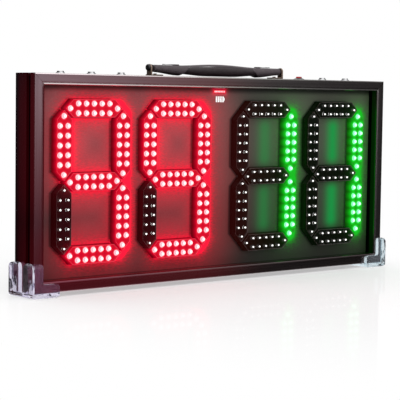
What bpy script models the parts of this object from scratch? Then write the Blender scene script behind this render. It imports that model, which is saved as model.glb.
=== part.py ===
# LED substitution board: mitred aluminium case, four seven-segment digits, push buttons and a carry handle.
# The board stands on its clear corner shoes. X runs along the board, -Y is the front and Z is up.
import math

import bmesh
import bpy
from mathutils import Matrix, Vector

mm = 0.001
gap = 0.3 * mm  # space kept between pieces that rest on each other
bore_clearance = 0.1 * mm

# Digits: segment centre lines form two stacked squares
segment_pitch = 45 * mm
segment_base_width = 23.3 * mm
segment_end_space = 1.1 * mm  # from a segment's tip to the corner of its square
segment_base_tip = segment_pitch - segment_end_space
segment_draft = 0.75 * mm
segment_rim = 1.3 * mm
segment_floor_draft = 0.2 * mm
segment_floor_sink = 1.5 * mm
segment_face_depth = 5.2 * mm
led_pitch = 11.86 * mm
led_end_space = 8.2 * mm
led_tip = segment_base_tip - led_end_space
led_radius = 2.5 * mm
led_crown = 1.4 * mm
led_sides = 5
led_rows = (-2, -1, 0, 1, 2)
led_tip_depth = 2.6 * mm
led_rooting = 0.5 * mm  # depth of a lamp's foot below its housing's floor

# Circuit boards behind the panel
circuit_thick = 1.6 * mm
board_gap = 1.6 * mm
board_margin = 1 * mm
digit_board_width = 2 * (segment_pitch + board_margin) + segment_base_width
digit_board_height = 2 * (2 * segment_pitch + board_margin) + segment_base_width
spacer_radius = 2.5 * mm
spacer_inset = 5 * mm
control_board_width = 38 * mm
control_board_height = 96 * mm
control_board_space = 2.35 * mm  # to the digit boards beside it
control_spacer_inset = 12 * mm
processor_side = 14 * mm
processor_thick = 2 * mm
connector_size = (12 * mm, 7 * mm, 8 * mm)
connector_offset = (14 * mm, -34 * mm)
charger_size = (30 * mm, 5 * mm, 6 * mm)
charger_rise = 26 * mm
chip_sink = 0.5 * mm  # overlap that joins a chip to its board

# Digit places: two pairs, with the control board between them
pair_space = 17.7 * mm
digit_inner = (control_board_width + digit_board_width) / 2 + control_board_space
digit_outer = digit_inner + digit_board_width + pair_space
digit_centres = (-digit_outer, -digit_inner, digit_inner, digit_outer)

# Case, drawn round the digits
side_border = 34.35 * mm  # from a digit's circuit board to the outside
top_border = 29.35 * mm
board_width = 2 * (digit_outer + digit_board_width / 2 + side_border)
board_height = digit_board_height + 2 * top_border
wall = 2 * mm

# Layers of the case, as depth behind its front face
panel_depth = 16 * mm
panel_thick = 2.5 * mm
circuit_depth = panel_depth + panel_thick + gap + board_gap + gap
service_space = 3.6 * mm  # free space behind the circuit boards
battery_thick = 11 * mm
strap_thick = 1 * mm
cover_depth = circuit_depth + circuit_thick + service_space + strap_thick + gap + battery_thick + gap
cover_thick = 1.3 * mm
cover_sink = 1.2 * mm
case_depth = cover_depth + cover_thick + cover_sink
front_y = -case_depth / 2
back_y = case_depth / 2
circuit_y = front_y + circuit_depth + circuit_thick / 2
cover_y = front_y + cover_depth + cover_thick / 2

# Corner shoes
shoe_wall = 5.2 * mm
shoe_arm_up = 36 * mm
shoe_arm_along = 34 * mm
shoe_lip_side = 10 * mm
shoe_lip_low = 11 * mm
shoe_end_round = 4 * mm
shoe_inner_round = 2 * mm
shoe_lobe_round = 6 * mm
shoe_lobe_rise = 0.4 * mm  # the lobes' rounding starts this far above the arm's end
shoe_foot_chamfer = 2 * mm
shoe_slot = 10 * mm
shoe_slot_depth = 15 * mm
shoe_slot_rise = 1 * mm

bottom_z = shoe_wall + gap
top_z = bottom_z + board_height
centre_z = bottom_z + board_height / 2

# Extrusion, as depth behind the front face and distance in from the outer face
face_width = 10.6 * mm
face_line_half = 0.35 * mm
face_line_sink = 0.5 * mm
bead_width = 3.7 * mm
bead_fall = 1.1 * mm
bead_shoulder = (0.45 * mm, 0.3 * mm)
bead_depth = 1.5 * mm
lip_inner = face_width + bead_width
lip_wall = 1.6 * mm
groove_start = 9.3 * mm
groove_end = 17.5 * mm
groove_sink = 3.6 * mm
ledge_thick = 1.8 * mm
ledge_depth = cover_depth - gap - ledge_thick
ledge_reach = 9 * mm
corner_round = 1.4 * mm
key_arm = 34 * mm

# Panel and back cover
panel_edge = groove_sink + wall + gap
cover_screw_radius = 1.5 * mm
cover_screw_head = (2.7 * mm, 0.9 * mm)  # radius and height
cover_screw_from_end = 27.5 * mm
cover_screw_inset = (wall + ledge_reach) / 2
cover_screw_reach = 1 * mm  # how far its tip comes through the ledge

# Level light
level_width = 21.3 * mm
level_height = 4.8 * mm
level_below_top = 18.7 * mm
level_set_forward = 0.5 * mm
level_round = 0.3 * mm

# Battery
battery_width = 112 * mm
battery_height = 66 * mm
battery_rise = 25 * mm
battery_z = bottom_z + battery_rise + battery_height / 2
battery_round = 3 * mm
strap_width = 24 * mm
strap_foot = 12 * mm

# Posts between the panel and the back cover, above and below each digit's circuit board
post_radius = 3 * mm
post_row_offset = (digit_board_height / 2 + board_height / 2 - lip_inner) / 2

# Charging socket in the right rail
socket_depth = 27 * mm
socket_rise = 70 * mm
socket_y = front_y + socket_depth
socket_z = bottom_z + socket_rise
socket_barrel_radius = 4 * mm
socket_barrel_length = 12 * mm
socket_flange_radius = 5.6 * mm
socket_flange_thick = 1.4 * mm
socket_flange_chamfer = 0.4 * mm
socket_bore_radius = 2.75 * mm
socket_bore_end = 2 * mm  # thickness of the end behind the bore
socket_vent_radius = 1 * mm

# Top controls
control_depth = 26 * mm
control_y = front_y + control_depth
control_end = 54.7 * mm  # from the case's end to the outermost button
control_pitch = 46.4 * mm
control_x = tuple(board_width / 2 - control_end - step * control_pitch for step in (2, 1, 0))
bezel_radius = 6 * mm
bezel_height = 1.3 * mm
bezel_land = 0.4 * mm
bezel_shoulder = 0.6 * mm
cap_radius = 4.5 * mm
cap_height = 3.3 * mm
cap_edge = 0.6 * mm
cap_seat = 0.2 * mm
barrel_radius = 4.2 * mm
barrel_length = 13 * mm
stem_radius = 2.2 * mm
stem_inset = 2 * mm
running_clearance = 0.08 * mm
button_travel = 1.2 * mm
nut_radius = 6.2 * mm
nut_thick = 2.2 * mm
power_bezel_radius = 7.9 * mm
power_bezel_height = 1.8 * mm
power_shoulder = 2.6 * mm
power_cap_radius = 4.1 * mm
power_cap_height = 3.9 * mm

# Handle: a bar that turns on two pins
pivot_height = 10.5 * mm
pivot_z = top_z + pivot_height
pivot_y = 0.0
handle_half = 110.5 * mm
handle_depth_half = 9 * mm
handle_end_depth_half = 7.4 * mm
handle_end_taper = 26 * mm
handle_end_round = 3 * mm
handle_top_end = 3.7 * mm
handle_top_mid = 6.6 * mm
handle_roundness = 2.2
cap_length = 42.5 * mm
cap_inner = handle_half - cap_length
arch_past_grip = 2 * mm
handle_arch_half = cap_inner + arch_past_grip
cap_under_inner = 9.5 * mm
cap_under_end = 5.7 * mm
grip_under_mid = 9.7 * mm
grip_under_end = 7.4 * mm
grip_flat_half = 24 * mm
grip_slant = 12.5 * mm
grip_top_inner = cap_inner - grip_slant
grip_low = -16 * mm  # lower than the grip's underside
grip_inset = 0.2 * mm
spine_thick = 3.1 * mm
stud_from_grip = 3.8 * mm
stud_x = cap_inner + stud_from_grip
stud_size = (6.6 * mm, 6 * mm, 2.4 * mm)
stud_rise = 0.1 * mm
plate_from_end = 25.5 * mm
plate_x = handle_half - plate_from_end
plate_size = (15 * mm, 5.6 * mm, 0.9 * mm)
plate_lift = 0.1 * mm
pin_radius = 2 * mm
pin_head = (4.3 * mm, 3.1 * mm, 1.1 * mm)  # radius, length and edge rounding of the head on the left
pin_rivet = (3 * mm, 0.8 * mm, 0.4 * mm)  # the same for the flat riveted end on the right
pin_reach = 12 * mm
bush_length = 2.9 * mm
bush_radius = 3.9 * mm
bush_groove = 0.7 * mm

# Brackets that carry the handle
lug_thick = 2.3 * mm
lug_width = 9 * mm
lug_inner = handle_half + gap + bush_length + gap
lug_outer = lug_inner + lug_thick
foot_thick = 1.5 * mm
foot_reach = 18 * mm
foot_width = 11 * mm
foot_y = pivot_y + 1 * mm
foot_screw_x = lug_inner - foot_reach / 2
foot_screw_y = pivot_y + 1.5 * mm
foot_screw_radius = 1.5 * mm
foot_screw_head = (2.7 * mm, 1 * mm)  # radius and height
foot_screw_length = 9 * mm


def start_scene():
    for old in list(bpy.data.objects):
        bpy.data.objects.remove(old, do_unlink=True)
    parts = bpy.data.collections.new("substitution_board")
    cutters = bpy.data.collections.new("cutters")
    bpy.context.scene.collection.children.link(parts)
    bpy.context.scene.collection.children.link(cutters)
    return parts, cutters


part_collection, cutter_collection = start_scene()


def make_material(name, colour, roughness, metallic=0.0, alpha=1.0, glow=0.0):
    material = bpy.data.materials.new(name)
    material.use_nodes = True
    shader = material.node_tree.nodes["Principled BSDF"]
    shader.inputs["Base Color"].default_value = (*colour, 1.0)
    shader.inputs["Roughness"].default_value = roughness
    shader.inputs["Metallic"].default_value = metallic
    shader.inputs["Alpha"].default_value = alpha
    shader.inputs["Emission Color"].default_value = (*colour, 1.0)
    shader.inputs["Emission Strength"].default_value = glow
    material.diffuse_color = (*colour, alpha)
    return material


anodised = make_material("anodised_black", (0.055, 0.048, 0.052), 0.38, 0.8)
panel_black = make_material("panel_black", (0.05, 0.046, 0.046), 0.7)
housing_black = make_material("housing_black", (0.012, 0.012, 0.014), 0.25)
clear_plastic = make_material("clear_plastic", (0.86, 0.88, 0.92), 0.08, 0.0, 0.4)
level_red = make_material("level_red", (0.9, 0.05, 0.08), 0.3, 0.0, 1.0, 2.0)
circuit_green = make_material("circuit_green", (0.02, 0.16, 0.07), 0.5)
cell_blue = make_material("cell_blue", (0.03, 0.08, 0.3), 0.45)
strap_steel = make_material("strap_steel", (0.5, 0.5, 0.5), 0.35, 1.0)
key_aluminium = make_material("key_aluminium", (0.6, 0.6, 0.61), 0.45, 1.0)
handle_plastic = make_material("handle_plastic", (0.06, 0.055, 0.058), 0.6)
grip_rubber = make_material("grip_rubber", (0.02, 0.018, 0.019), 0.4)
bracket_steel = make_material("bracket_steel", (0.3, 0.22, 0.17), 0.35, 1.0)
polished_steel = make_material("polished_steel", (0.72, 0.72, 0.73), 0.12, 1.0)
black_steel = make_material("black_steel", (0.02, 0.02, 0.02), 0.35, 0.6)
bush_black = make_material("bush_black", (0.02, 0.015, 0.015), 0.55)
power_red = make_material("power_red", (0.6, 0.02, 0.03), 0.35)
bezel_black = make_material("bezel_black", (0.015, 0.015, 0.016), 0.3)


def add_object(name, mesh, material, location=(0, 0, 0), rotation=(0, 0, 0), collection=None):
    obj = bpy.data.objects.new(name, mesh)
    (collection or part_collection).objects.link(obj)
    obj.location = location
    obj.rotation_euler = rotation
    if material:
        mesh.materials.clear()
        mesh.materials.append(material)
    return obj


def finish_mesh(bm, name):
    bmesh.ops.recalc_face_normals(bm, faces=bm.faces)
    mesh = bpy.data.meshes.new(name)
    bm.to_mesh(mesh)
    bm.free()
    return mesh


def add_box(bm, centre, size):
    matrix = Matrix.Translation(centre) @ Matrix.Diagonal((*size, 1))
    return bmesh.ops.create_cube(bm, size=1, matrix=matrix)["verts"]


def box_mesh(name, boxes):
    bm = bmesh.new()
    for centre, size in boxes:
        add_box(bm, centre, size)
    return finish_mesh(bm, name)


# A round bar from start to end, which may taper
def add_round(bm, start, end, radius, end_radius=None, segments=12):
    start, end = Vector(start), Vector(end)
    along = end - start
    turn = along.to_track_quat("Z", "Y").to_matrix().to_4x4()
    matrix = Matrix.Translation((start + end) / 2) @ turn
    bmesh.ops.create_cone(
        bm,
        cap_ends=True,
        segments=segments,
        radius1=radius,
        radius2=radius if end_radius is None else end_radius,
        depth=along.length,
        matrix=matrix,
    )


# A cutter stays in its own hidden collection, and the piece is cut by a modifier
def cut(obj, mesh, operation="DIFFERENCE", label="cut"):
    cutter = add_object(f"{obj.name}_{label}", mesh, None, collection=cutter_collection)
    cutter.hide_render = True
    cutter.display_type = "WIRE"
    modifier = obj.modifiers.new(label, "BOOLEAN")
    modifier.operation = operation
    modifier.solver = "EXACT"
    modifier.object = cutter


def bevel(obj, width, segments=1, angle=35):
    modifier = obj.modifiers.new("edges", "BEVEL")
    modifier.width = width
    modifier.segments = segments
    modifier.limit_method = "ANGLE"
    modifier.angle_limit = math.radians(angle)


# A flat outline in X and Z, pulled out along Y from start to end
def add_prism(bm, points, start, end):
    face = bm.faces.new([bm.verts.new((x, start, z)) for x, z in points])
    grown = bmesh.ops.extrude_face_region(bm, geom=[face])["geom"]
    moved = [item for item in grown if isinstance(item, bmesh.types.BMVert)]
    bmesh.ops.translate(bm, vec=(0, end - start, 0), verts=moved)


def outline_mesh(name, points, thickness, y):
    bm = bmesh.new()
    add_prism(bm, points, y - thickness / 2, y + thickness / 2)
    return finish_mesh(bm, name)


# A profile of radius and height, turned about its own Z axis with the Screw modifier
def turned(name, profile, material, location, steps=10, rotation=(0, 0, 0)):
    bm = bmesh.new()
    points = [bm.verts.new((radius, 0, height)) for radius, height in profile]
    for first, second in zip(points, points[1:]):
        bm.edges.new((first, second))
    if profile[0][0] > 0 and profile[-1][0] > 0:
        bm.edges.new((points[-1], points[0]))
    mesh = bpy.data.meshes.new(name)
    bm.to_mesh(mesh)
    bm.free()
    obj = add_object(name, mesh, material, location, rotation)
    screw = obj.modifiers.new("turn", "SCREW")
    screw.axis = "Z"
    screw.steps = steps
    screw.render_steps = steps
    screw.use_merge_vertices = True
    screw.merge_threshold = 0.00001
    screw.use_smooth_shade = True
    return obj


def arc_points(centre_x, centre_z, radius, start_degrees, end_degrees, count):
    points = []
    for step in range(count + 1):
        angle = math.radians(start_degrees + (end_degrees - start_degrees) * step / count)
        points.append((centre_x + radius * math.cos(angle), centre_z + radius * math.sin(angle)))
    return points


# Case rails: one extruded section, cut to length and mitred

def extrusion_profile():
    lip_end = panel_depth - gap
    chamfer = corner_round * (1 - math.sqrt(0.5))
    shoulder_depth, shoulder_in = bead_shoulder
    return (
        (0, corner_round),
        (0, face_width - face_line_half),
        (face_line_sink, face_width),
        (0, face_width + face_line_half),
        (0, lip_inner - bead_fall),
        (shoulder_depth, lip_inner - shoulder_in),
        (bead_depth, lip_inner),
        (lip_end, lip_inner),
        (lip_end, lip_inner - lip_wall),
        (wall, lip_inner - lip_wall),
        (wall, wall),
        (groove_start - wall, wall),
        (groove_start - wall, groove_sink + wall),
        (groove_end + wall, groove_sink + wall),
        (groove_end + wall, wall),
        (ledge_depth, wall),
        (ledge_depth, ledge_reach),
        (ledge_depth + ledge_thick, ledge_reach),
        (ledge_depth + ledge_thick, wall),
        (case_depth, wall),
        (case_depth, 0),
        (groove_end, 0),
        (groove_end, groove_sink),
        (groove_start, groove_sink),
        (groove_start, 0),
        (corner_round, 0),
        (chamfer, chamfer),
    )


# Local frame of a rail: X along it, Y the depth, and Z zero on its outer face with the inside below
def rail_mesh(name, length):
    mitre_gap = gap / 2 * math.sqrt(2)
    bm = bmesh.new()
    rings = []
    for side in (-1, 1):
        ring = []
        for depth, inward in extrusion_profile():
            x = side * (length / 2 - inward - mitre_gap)
            ring.append(bm.verts.new((x, depth, -inward)))
        rings.append(ring)
    count = len(rings[0])
    for index in range(count):
        after = (index + 1) % count
        bm.faces.new((rings[0][index], rings[0][after], rings[1][after], rings[1][index]))
    for ring in rings:
        bm.faces.new(ring)
    return finish_mesh(bm, name)


def build_case():
    rails = {}
    for name, length, place, turn in (
        ("frame_rail_top", board_width, (0, front_y, top_z), 0),
        ("frame_rail_bottom", board_width, (0, front_y, bottom_z), 180),
        ("frame_rail_left", board_height, (-board_width / 2, front_y, centre_z), -90),
        ("frame_rail_right", board_height, (board_width / 2, front_y, centre_z), 90),
    ):
        rotation = (0, math.radians(turn), 0)
        rails[name] = add_object(name, rail_mesh(name, length), anodised, place, rotation)

    top_holes = bmesh.new()
    for side in (-1, 1):
        for x in control_x:
            radius = barrel_radius + gap
            add_round(
                top_holes,
                (side * x, control_y, top_z + wall),
                (side * x, control_y, top_z - 2 * wall),
                radius,
                segments=10,
            )
        add_round(
            top_holes,
            (side * foot_screw_x, foot_screw_y, top_z + wall),
            (side * foot_screw_x, foot_screw_y, top_z - 2 * wall),
            foot_screw_radius + gap,
            segments=8,
        )
    cut(rails["frame_rail_top"], finish_mesh(top_holes, "top_holes"), label="top_holes")

    side_hole = bmesh.new()
    x = board_width / 2
    add_round(
        side_hole,
        (x + wall, socket_y, socket_z),
        (x - 2 * wall, socket_y, socket_z),
        socket_barrel_radius + gap,
        segments=10,
    )
    cut(rails["frame_rail_right"], finish_mesh(side_hole, "side_hole"), label="socket_hole")
    for name in ("frame_rail_top", "frame_rail_bottom"):
        cut(rails[name], cover_screw_holes(cover_screw_radius + gap), label="screw_holes")


# Corner keys: flat L pieces in the channel behind the front face, one in each mitre
def build_corner_keys():
    near = wall + gap
    far = lip_inner - lip_wall - gap
    key_front = wall + gap
    key_back = groove_start - wall - gap
    key_y = front_y + (key_front + key_back) / 2
    outline = ((near, near), (key_arm, near), (key_arm, far), (far, far), (far, key_arm), (near, key_arm))
    for side_x, across in ((-1, "left"), (1, "right")):
        for side_z, up in ((-1, "bottom"), (1, "top")):
            name = f"corner_key_{up}_{across}"
            points = [(-side_x * u, -side_z * v) for u, v in outline]
            mesh = outline_mesh(name, points, key_back - key_front, key_y)
            corner = (side_x * board_width / 2, 0, centre_z + side_z * board_height / 2)
            add_object(name, mesh, key_aluminium, corner)


# Panel with its window for the level light, and the sheet that closes the back

def build_panel():
    size = (board_width - 2 * panel_edge, panel_thick, board_height - 2 * panel_edge)
    y = front_y + panel_depth + panel_thick / 2
    mesh = box_mesh("display_panel", [((0, 0, 0), size)])
    panel = add_object("display_panel", mesh, panel_black, (0, y, centre_z))
    openings = bmesh.new()
    add_box(openings, (0, y, top_z - level_below_top), (level_width, 4 * panel_thick, level_height))
    for digit_x in digit_centres:
        for place in segment_places(digit_x):
            add_prism(openings, segment_outline(place, -gap), y - 2 * panel_thick, y + 2 * panel_thick)
    cut(panel, finish_mesh(openings, "panel_openings"), label="openings")


def cover_screw_places():
    far_x = board_width / 2 - cover_screw_from_end
    far_z = board_height / 2 - cover_screw_inset
    return [(x, centre_z + side * far_z) for side in (-1, 1) for x in (-far_x, 0, far_x)]


def post_places():
    return [(x, centre_z + side * post_row_offset) for x in digit_centres for side in (-1, 1)]


def cover_screw_holes(radius):
    holes = bmesh.new()
    for x, z in cover_screw_places():
        add_round(holes, (x, back_y + wall, z), (x, front_y + ledge_depth - wall, z), radius, segments=8)
    return finish_mesh(holes, "cover_screw_holes")


def build_back():
    edge = wall + gap
    size = (board_width - 2 * edge, cover_thick, board_height - 2 * edge)
    mesh = box_mesh("back_cover", [((0, 0, 0), size)])
    cover = add_object("back_cover", mesh, anodised, (0, cover_y, centre_z))

    # Posts pressed into the cover, which hold the panel against the lip
    posts = bmesh.new()
    post_start = front_y + panel_depth + panel_thick + gap
    for x, z in post_places():
        add_round(posts, (x, post_start, z), (x, cover_y, z), post_radius, segments=6)
    cut(cover, finish_mesh(posts, "cover_posts"), "UNION", "posts")
    cut(cover, cover_screw_holes(cover_screw_radius + gap), label="screw_holes")

    seat_y = cover_y + cover_thick / 2 + gap
    tip_y = front_y + ledge_depth - cover_screw_reach
    for number, (x, z) in enumerate(cover_screw_places(), start=1):
        bm = bmesh.new()
        add_screw(bm, seat_y - tip_y, cover_screw_radius, *cover_screw_head)
        turn = (math.radians(-90), 0, 0)
        name = f"cover_screw_{number}"
        add_object(name, finish_mesh(bm, name), black_steel, (x, seat_y, z), turn)


# Pan head screw: its head stands on the local XY plane and its shank goes down
def add_screw(bm, length, shank_radius, head_radius, head_height, steps=8):
    rings = []
    for radius, z in (
        (0.7 * head_radius, head_height),
        (head_radius, 0.4 * head_height),
        (head_radius, 0),
        (shank_radius, 0),
        (shank_radius, -length),
    ):
        rings.append(ring_of_verts(bm, radius, z, steps))
    for first, second in zip(rings, rings[1:]):
        bridge(bm, first, second)
    bm.faces.new(rings[0])
    bm.faces.new(rings[-1])


def ring_of_verts(bm, radius, z, steps):
    angles = [2 * math.pi * step / steps for step in range(steps)]
    return [bm.verts.new((radius * math.cos(angle), radius * math.sin(angle), z)) for angle in angles]


def bridge(bm, first, second):
    count = len(first)
    for index in range(count):
        after = (index + 1) % count
        bm.faces.new((first[index], first[after], second[after], second[index]))


# Digits: seven tray-shaped segment housings with twelve LEDs in each

def segment_places(digit_x):
    places = []
    for level in (-2, 0, 2):
        places.append((digit_x, centre_z + level * segment_pitch, False))
    for side in (-1, 1):
        for level in (-1, 1):
            places.append((digit_x + side * segment_pitch, centre_z + level * segment_pitch, True))
    return places


def led_offsets():
    offsets = [(row * led_pitch, side * led_pitch / 2) for row in led_rows for side in (-1, 1)]
    return offsets + [(-led_tip, 0), (led_tip, 0)]


def place_in_segment(place, along, across):
    x, z, upright = place
    return (x + across, z + along) if upright else (x + along, z + across)


# Hexagon with 45 degree ends, drawn in by a draft
def segment_outline(place, inset):
    half = segment_base_width / 2 - inset
    tip = segment_base_tip - inset * math.sqrt(2)
    flat = tip - half
    corners = ((-tip, 0), (-flat, -half), (flat, -half), (tip, 0), (flat, half), (-flat, half))
    return [place_in_segment(place, along, across) for along, across in corners]


# One housing: drafted sides from the circuit board to the face, a rim, and a floor just below it
def build_segment(bm, place):
    face_y = front_y + segment_face_depth
    floor_y = face_y + segment_floor_sink
    rings = []
    for y, inset in (
        (circuit_y, 0),
        (front_y + panel_depth, 0),
        (face_y, segment_draft),
        (face_y, segment_draft + segment_rim),
        (floor_y, segment_draft + segment_rim + segment_floor_draft),
    ):
        rings.append([bm.verts.new((x, y, z)) for x, z in segment_outline(place, inset)])
    for lower, upper in zip(rings, rings[1:]):
        bridge(bm, lower, upper)
    bm.faces.new(rings[0])
    bm.faces.new(rings[-1])


# A digit is one soldered module: the circuit board, its spacers, seven potted housings and their LEDs
def build_digits():
    floor_y = front_y + segment_face_depth + segment_floor_sink
    led_tip_y = front_y + led_tip_depth
    for number, digit_x in enumerate(digit_centres, start=1):
        name = f"digit_module_{number}"
        size = (digit_board_width, circuit_thick, digit_board_height)
        board = box_mesh(name, [((0, 0, 0), size)])
        module = add_object(name, board, housing_black, (digit_x, circuit_y, centre_z))

        housings = bmesh.new()
        leds = bmesh.new()
        for place in segment_places(digit_x):
            build_segment(housings, place)
            for along, across in led_offsets():
                x, z = place_in_segment(place, along, across)
                start = (x, floor_y + led_rooting, z)
                add_round(leds, start, (x, led_tip_y, z), led_radius, led_crown, segments=led_sides)
        for side_x in (-1, 1):
            for side_z in (-1, 1):
                x = digit_x + side_x * (digit_board_width / 2 - spacer_inset)
                z = centre_z + side_z * (digit_board_height / 2 - spacer_inset)
                add_spacer(housings, x, z)
        cut(module, finish_mesh(housings, "housings"), "UNION", "housings")
        cut(module, finish_mesh(leds, "leds"), "UNION", "leds")


# Spacer from a circuit board to the back of the panel
def add_spacer(bm, x, z):
    start = front_y + panel_depth + panel_thick + gap
    add_round(bm, (x, start, z), (x, circuit_y, z), spacer_radius, segments=6)


# Control board at the middle of the top edge, and the light bar that it carries

def build_control_board():
    control_top = top_z - level_below_top + level_height
    control_centre = control_top - control_board_height / 2
    size = (control_board_width, circuit_thick, control_board_height)
    mesh = box_mesh("control_board", [((0, 0, 0), size)])
    board = add_object("control_board", mesh, circuit_green, (0, circuit_y, control_centre))
    spacers = bmesh.new()
    for side_z in (-1, 1):
        add_spacer(spacers, 0, control_centre + side_z * (control_board_height / 2 - control_spacer_inset))
    cut(board, finish_mesh(spacers, "control_spacers"), "UNION", "spacers")

    # The processor and the connectors on the board's back
    chips = bmesh.new()
    back = circuit_y + circuit_thick / 2
    across, up = connector_offset
    for x, rise, size in (
        (0, 0, (processor_side, processor_thick, processor_side)),
        (-across, up, connector_size),
        (across, up, connector_size),
        (0, charger_rise, charger_size),
    ):
        add_box(chips, (x, back + size[1] / 2 - chip_sink, control_centre + rise), size)
    cut(board, finish_mesh(chips, "chips"), "UNION", "chips")

    bar_front = front_y + panel_depth - level_set_forward
    bar_back = circuit_y - circuit_thick / 2 - gap
    size = (level_width - 2 * gap, bar_back - bar_front, level_height - 2 * gap)
    mesh = box_mesh("level_light", [((0, 0, 0), size)])
    place = (0, (bar_front + bar_back) / 2, top_z - level_below_top)
    light = add_object("level_light", mesh, level_red, place)
    bevel(light, level_round)


def build_battery():
    cover_inner = cover_y - cover_thick / 2
    pack_back = cover_inner - gap
    pack_y = pack_back - battery_thick / 2
    mesh = box_mesh("battery_pack", [((0, 0, 0), (battery_width, battery_thick, battery_height))])
    pack = add_object("battery_pack", mesh, cell_blue, (0, pack_y, battery_z))
    bevel(pack, battery_round, 2)

    # Strap: a bent strip over the pack, with its two feet on the back cover
    half = battery_width / 2 + gap
    front = pack_back - battery_thick - gap
    back = cover_inner - gap
    outline = (
        (-half - strap_thick - strap_foot, back),
        (-half, back),
        (-half, front),
        (half, front),
        (half, back),
        (half + strap_thick + strap_foot, back),
        (half + strap_thick + strap_foot, back - strap_thick),
        (half + strap_thick, back - strap_thick),
        (half + strap_thick, front - strap_thick),
        (-half - strap_thick, front - strap_thick),
        (-half - strap_thick, back - strap_thick),
        (-half - strap_thick - strap_foot, back - strap_thick),
    )
    bm = bmesh.new()
    face = bm.faces.new([bm.verts.new((x, y, -strap_width / 2)) for x, y in outline])
    grown = bmesh.ops.extrude_face_region(bm, geom=[face])["geom"]
    moved = [item for item in grown if isinstance(item, bmesh.types.BMVert)]
    bmesh.ops.translate(bm, vec=(0, 0, strap_width), verts=moved)
    add_object("battery_strap", finish_mesh(bm, "battery_strap"), strap_steel, (0, 0, battery_z))


# Charging socket with its nut inside the case
def build_socket():
    x = board_width / 2
    outer = gap + socket_flange_thick
    inner = -socket_barrel_length
    profile = (
        (socket_flange_radius, outer - socket_flange_chamfer),
        (socket_flange_radius, gap),
        (socket_barrel_radius, gap),
        (socket_barrel_radius, inner),
        (socket_vent_radius, inner),
        (socket_vent_radius, inner + socket_bore_end),
        (socket_bore_radius, inner + socket_bore_end),
        (socket_bore_radius, outer),
        (socket_flange_radius - socket_flange_chamfer, outer),
    )
    sideways = (0, math.radians(90), 0)
    turned("charge_socket", profile, black_steel, (x, socket_y, socket_z), 10, sideways)
    seat = (x - wall - gap, socket_y, socket_z)
    build_nut("charge_socket_nut", socket_barrel_radius, seat, sideways)


# Hexagon nut round a barrel, hanging below its location
def build_nut(name, barrel, location, rotation=(0, 0, 0)):
    steps = 6
    bore = (barrel + gap) / math.cos(math.pi / steps)
    bm = bmesh.new()
    rings = [
        ring_of_verts(bm, nut_radius, 0, steps),
        ring_of_verts(bm, nut_radius, -nut_thick, steps),
        ring_of_verts(bm, bore, -nut_thick, steps),
        ring_of_verts(bm, bore, 0, steps),
    ]
    for first, second in zip(rings, rings[1:] + rings[:1]):
        bridge(bm, first, second)
    add_object(name, finish_mesh(bm, name), key_aluminium, location, rotation)


# Push buttons: a fixed bezel with its barrel, and a cap that is pressed into it

def build_button(name, x, body_material, cap_material, outer, height, cap, cap_top, shoulder):
    seat = gap
    bore = stem_radius + running_clearance
    pocket_floor = seat + height - cap_seat - button_travel - gap
    body_profile = (
        (outer - shoulder, seat + height),
        (outer, seat + bezel_land),
        (outer, seat),
        (barrel_radius, seat),
        (barrel_radius, -barrel_length),
        (bore, -barrel_length),
        (bore, pocket_floor),
        (cap + running_clearance, pocket_floor),
        (cap + running_clearance, seat + height),
    )
    turned(f"{name}_body", body_profile, body_material, (x, control_y, top_z))
    under = seat + height - cap_seat
    stem_end = stem_inset - barrel_length
    cap_profile = (
        (0, seat + cap_top),
        (cap - cap_edge, seat + cap_top),
        (cap, seat + cap_top - cap_edge),
        (cap, under),
        (stem_radius, under),
        (stem_radius, stem_end),
        (0, stem_end),
    )
    turned(f"{name}_cap", cap_profile, cap_material, (x, control_y, top_z))
    build_nut(f"{name}_nut", barrel_radius, (x, control_y, top_z - wall - gap))


def button_places():
    places = [-x for x in reversed(control_x)] + [control_x[1], control_x[2]]
    return places


def build_controls():
    for number, x in enumerate(button_places(), start=1):
        build_button(
            f"button_{number}",
            x,
            polished_steel,
            polished_steel,
            bezel_radius,
            bezel_height,
            cap_radius,
            cap_height,
            bezel_shoulder,
        )
    build_button(
        "power_button",
        control_x[0],
        bezel_black,
        power_red,
        power_bezel_radius,
        power_bezel_height,
        power_cap_radius,
        power_cap_height,
        power_shoulder,
    )


# Handle

def blend(value, start, end):
    share = min(1.0, max(0.0, (value - start) / (end - start)))
    return share * share * (3 - 2 * share)


def handle_top(x):
    share = max(0.0, 1 - (x / handle_arch_half) ** 2)
    return handle_top_end + (handle_top_mid - handle_top_end) * share * share


def cap_bottom(x):
    return -(cap_under_inner + (cap_under_end - cap_under_inner) * blend(abs(x), cap_inner, handle_half))


def grip_bottom(x):
    return -(grip_under_mid + (grip_under_end - grip_under_mid) * blend(abs(x), grip_flat_half, cap_inner))


def handle_depth(x):
    share = blend(abs(x), handle_half - handle_end_taper, handle_half)
    return handle_depth_half + (handle_end_depth_half - handle_depth_half) * share


# One cross-section: a rounded rectangle whose corners follow a power curve
def bar_section(bm, x, top, bottom, half_depth, points=12):
    middle = (top + bottom) / 2
    half_height = (top - bottom) / 2
    power = 2 / handle_roundness
    ring = []
    for step in range(points):
        angle = 2 * math.pi * (step + 0.5) / points
        across, up = math.cos(angle), math.sin(angle)
        y = math.copysign(abs(across) ** power, across) * half_depth
        z = math.copysign(abs(up) ** power, up) * half_height
        ring.append(bm.verts.new((x, y, middle + z)))
    return ring


def bar_mesh(name, stations, top, bottom, depth, shrink=0.0):
    bm = bmesh.new()
    rings = []
    for x, scale in stations:
        middle = (top(x) + bottom(x)) / 2
        half = (top(x) - bottom(x)) / 2 * scale - shrink
        rings.append(bar_section(bm, x, middle + half, middle - half, depth(x) * scale - shrink))
    for first, second in zip(rings, rings[1:]):
        for index in range(len(first)):
            after = (index + 1) % len(first)
            bm.faces.new((first[index], first[after], second[after], second[index]))
    bm.faces.new(rings[0])
    bm.faces.new(rings[-1])
    return finish_mesh(bm, name)


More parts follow.
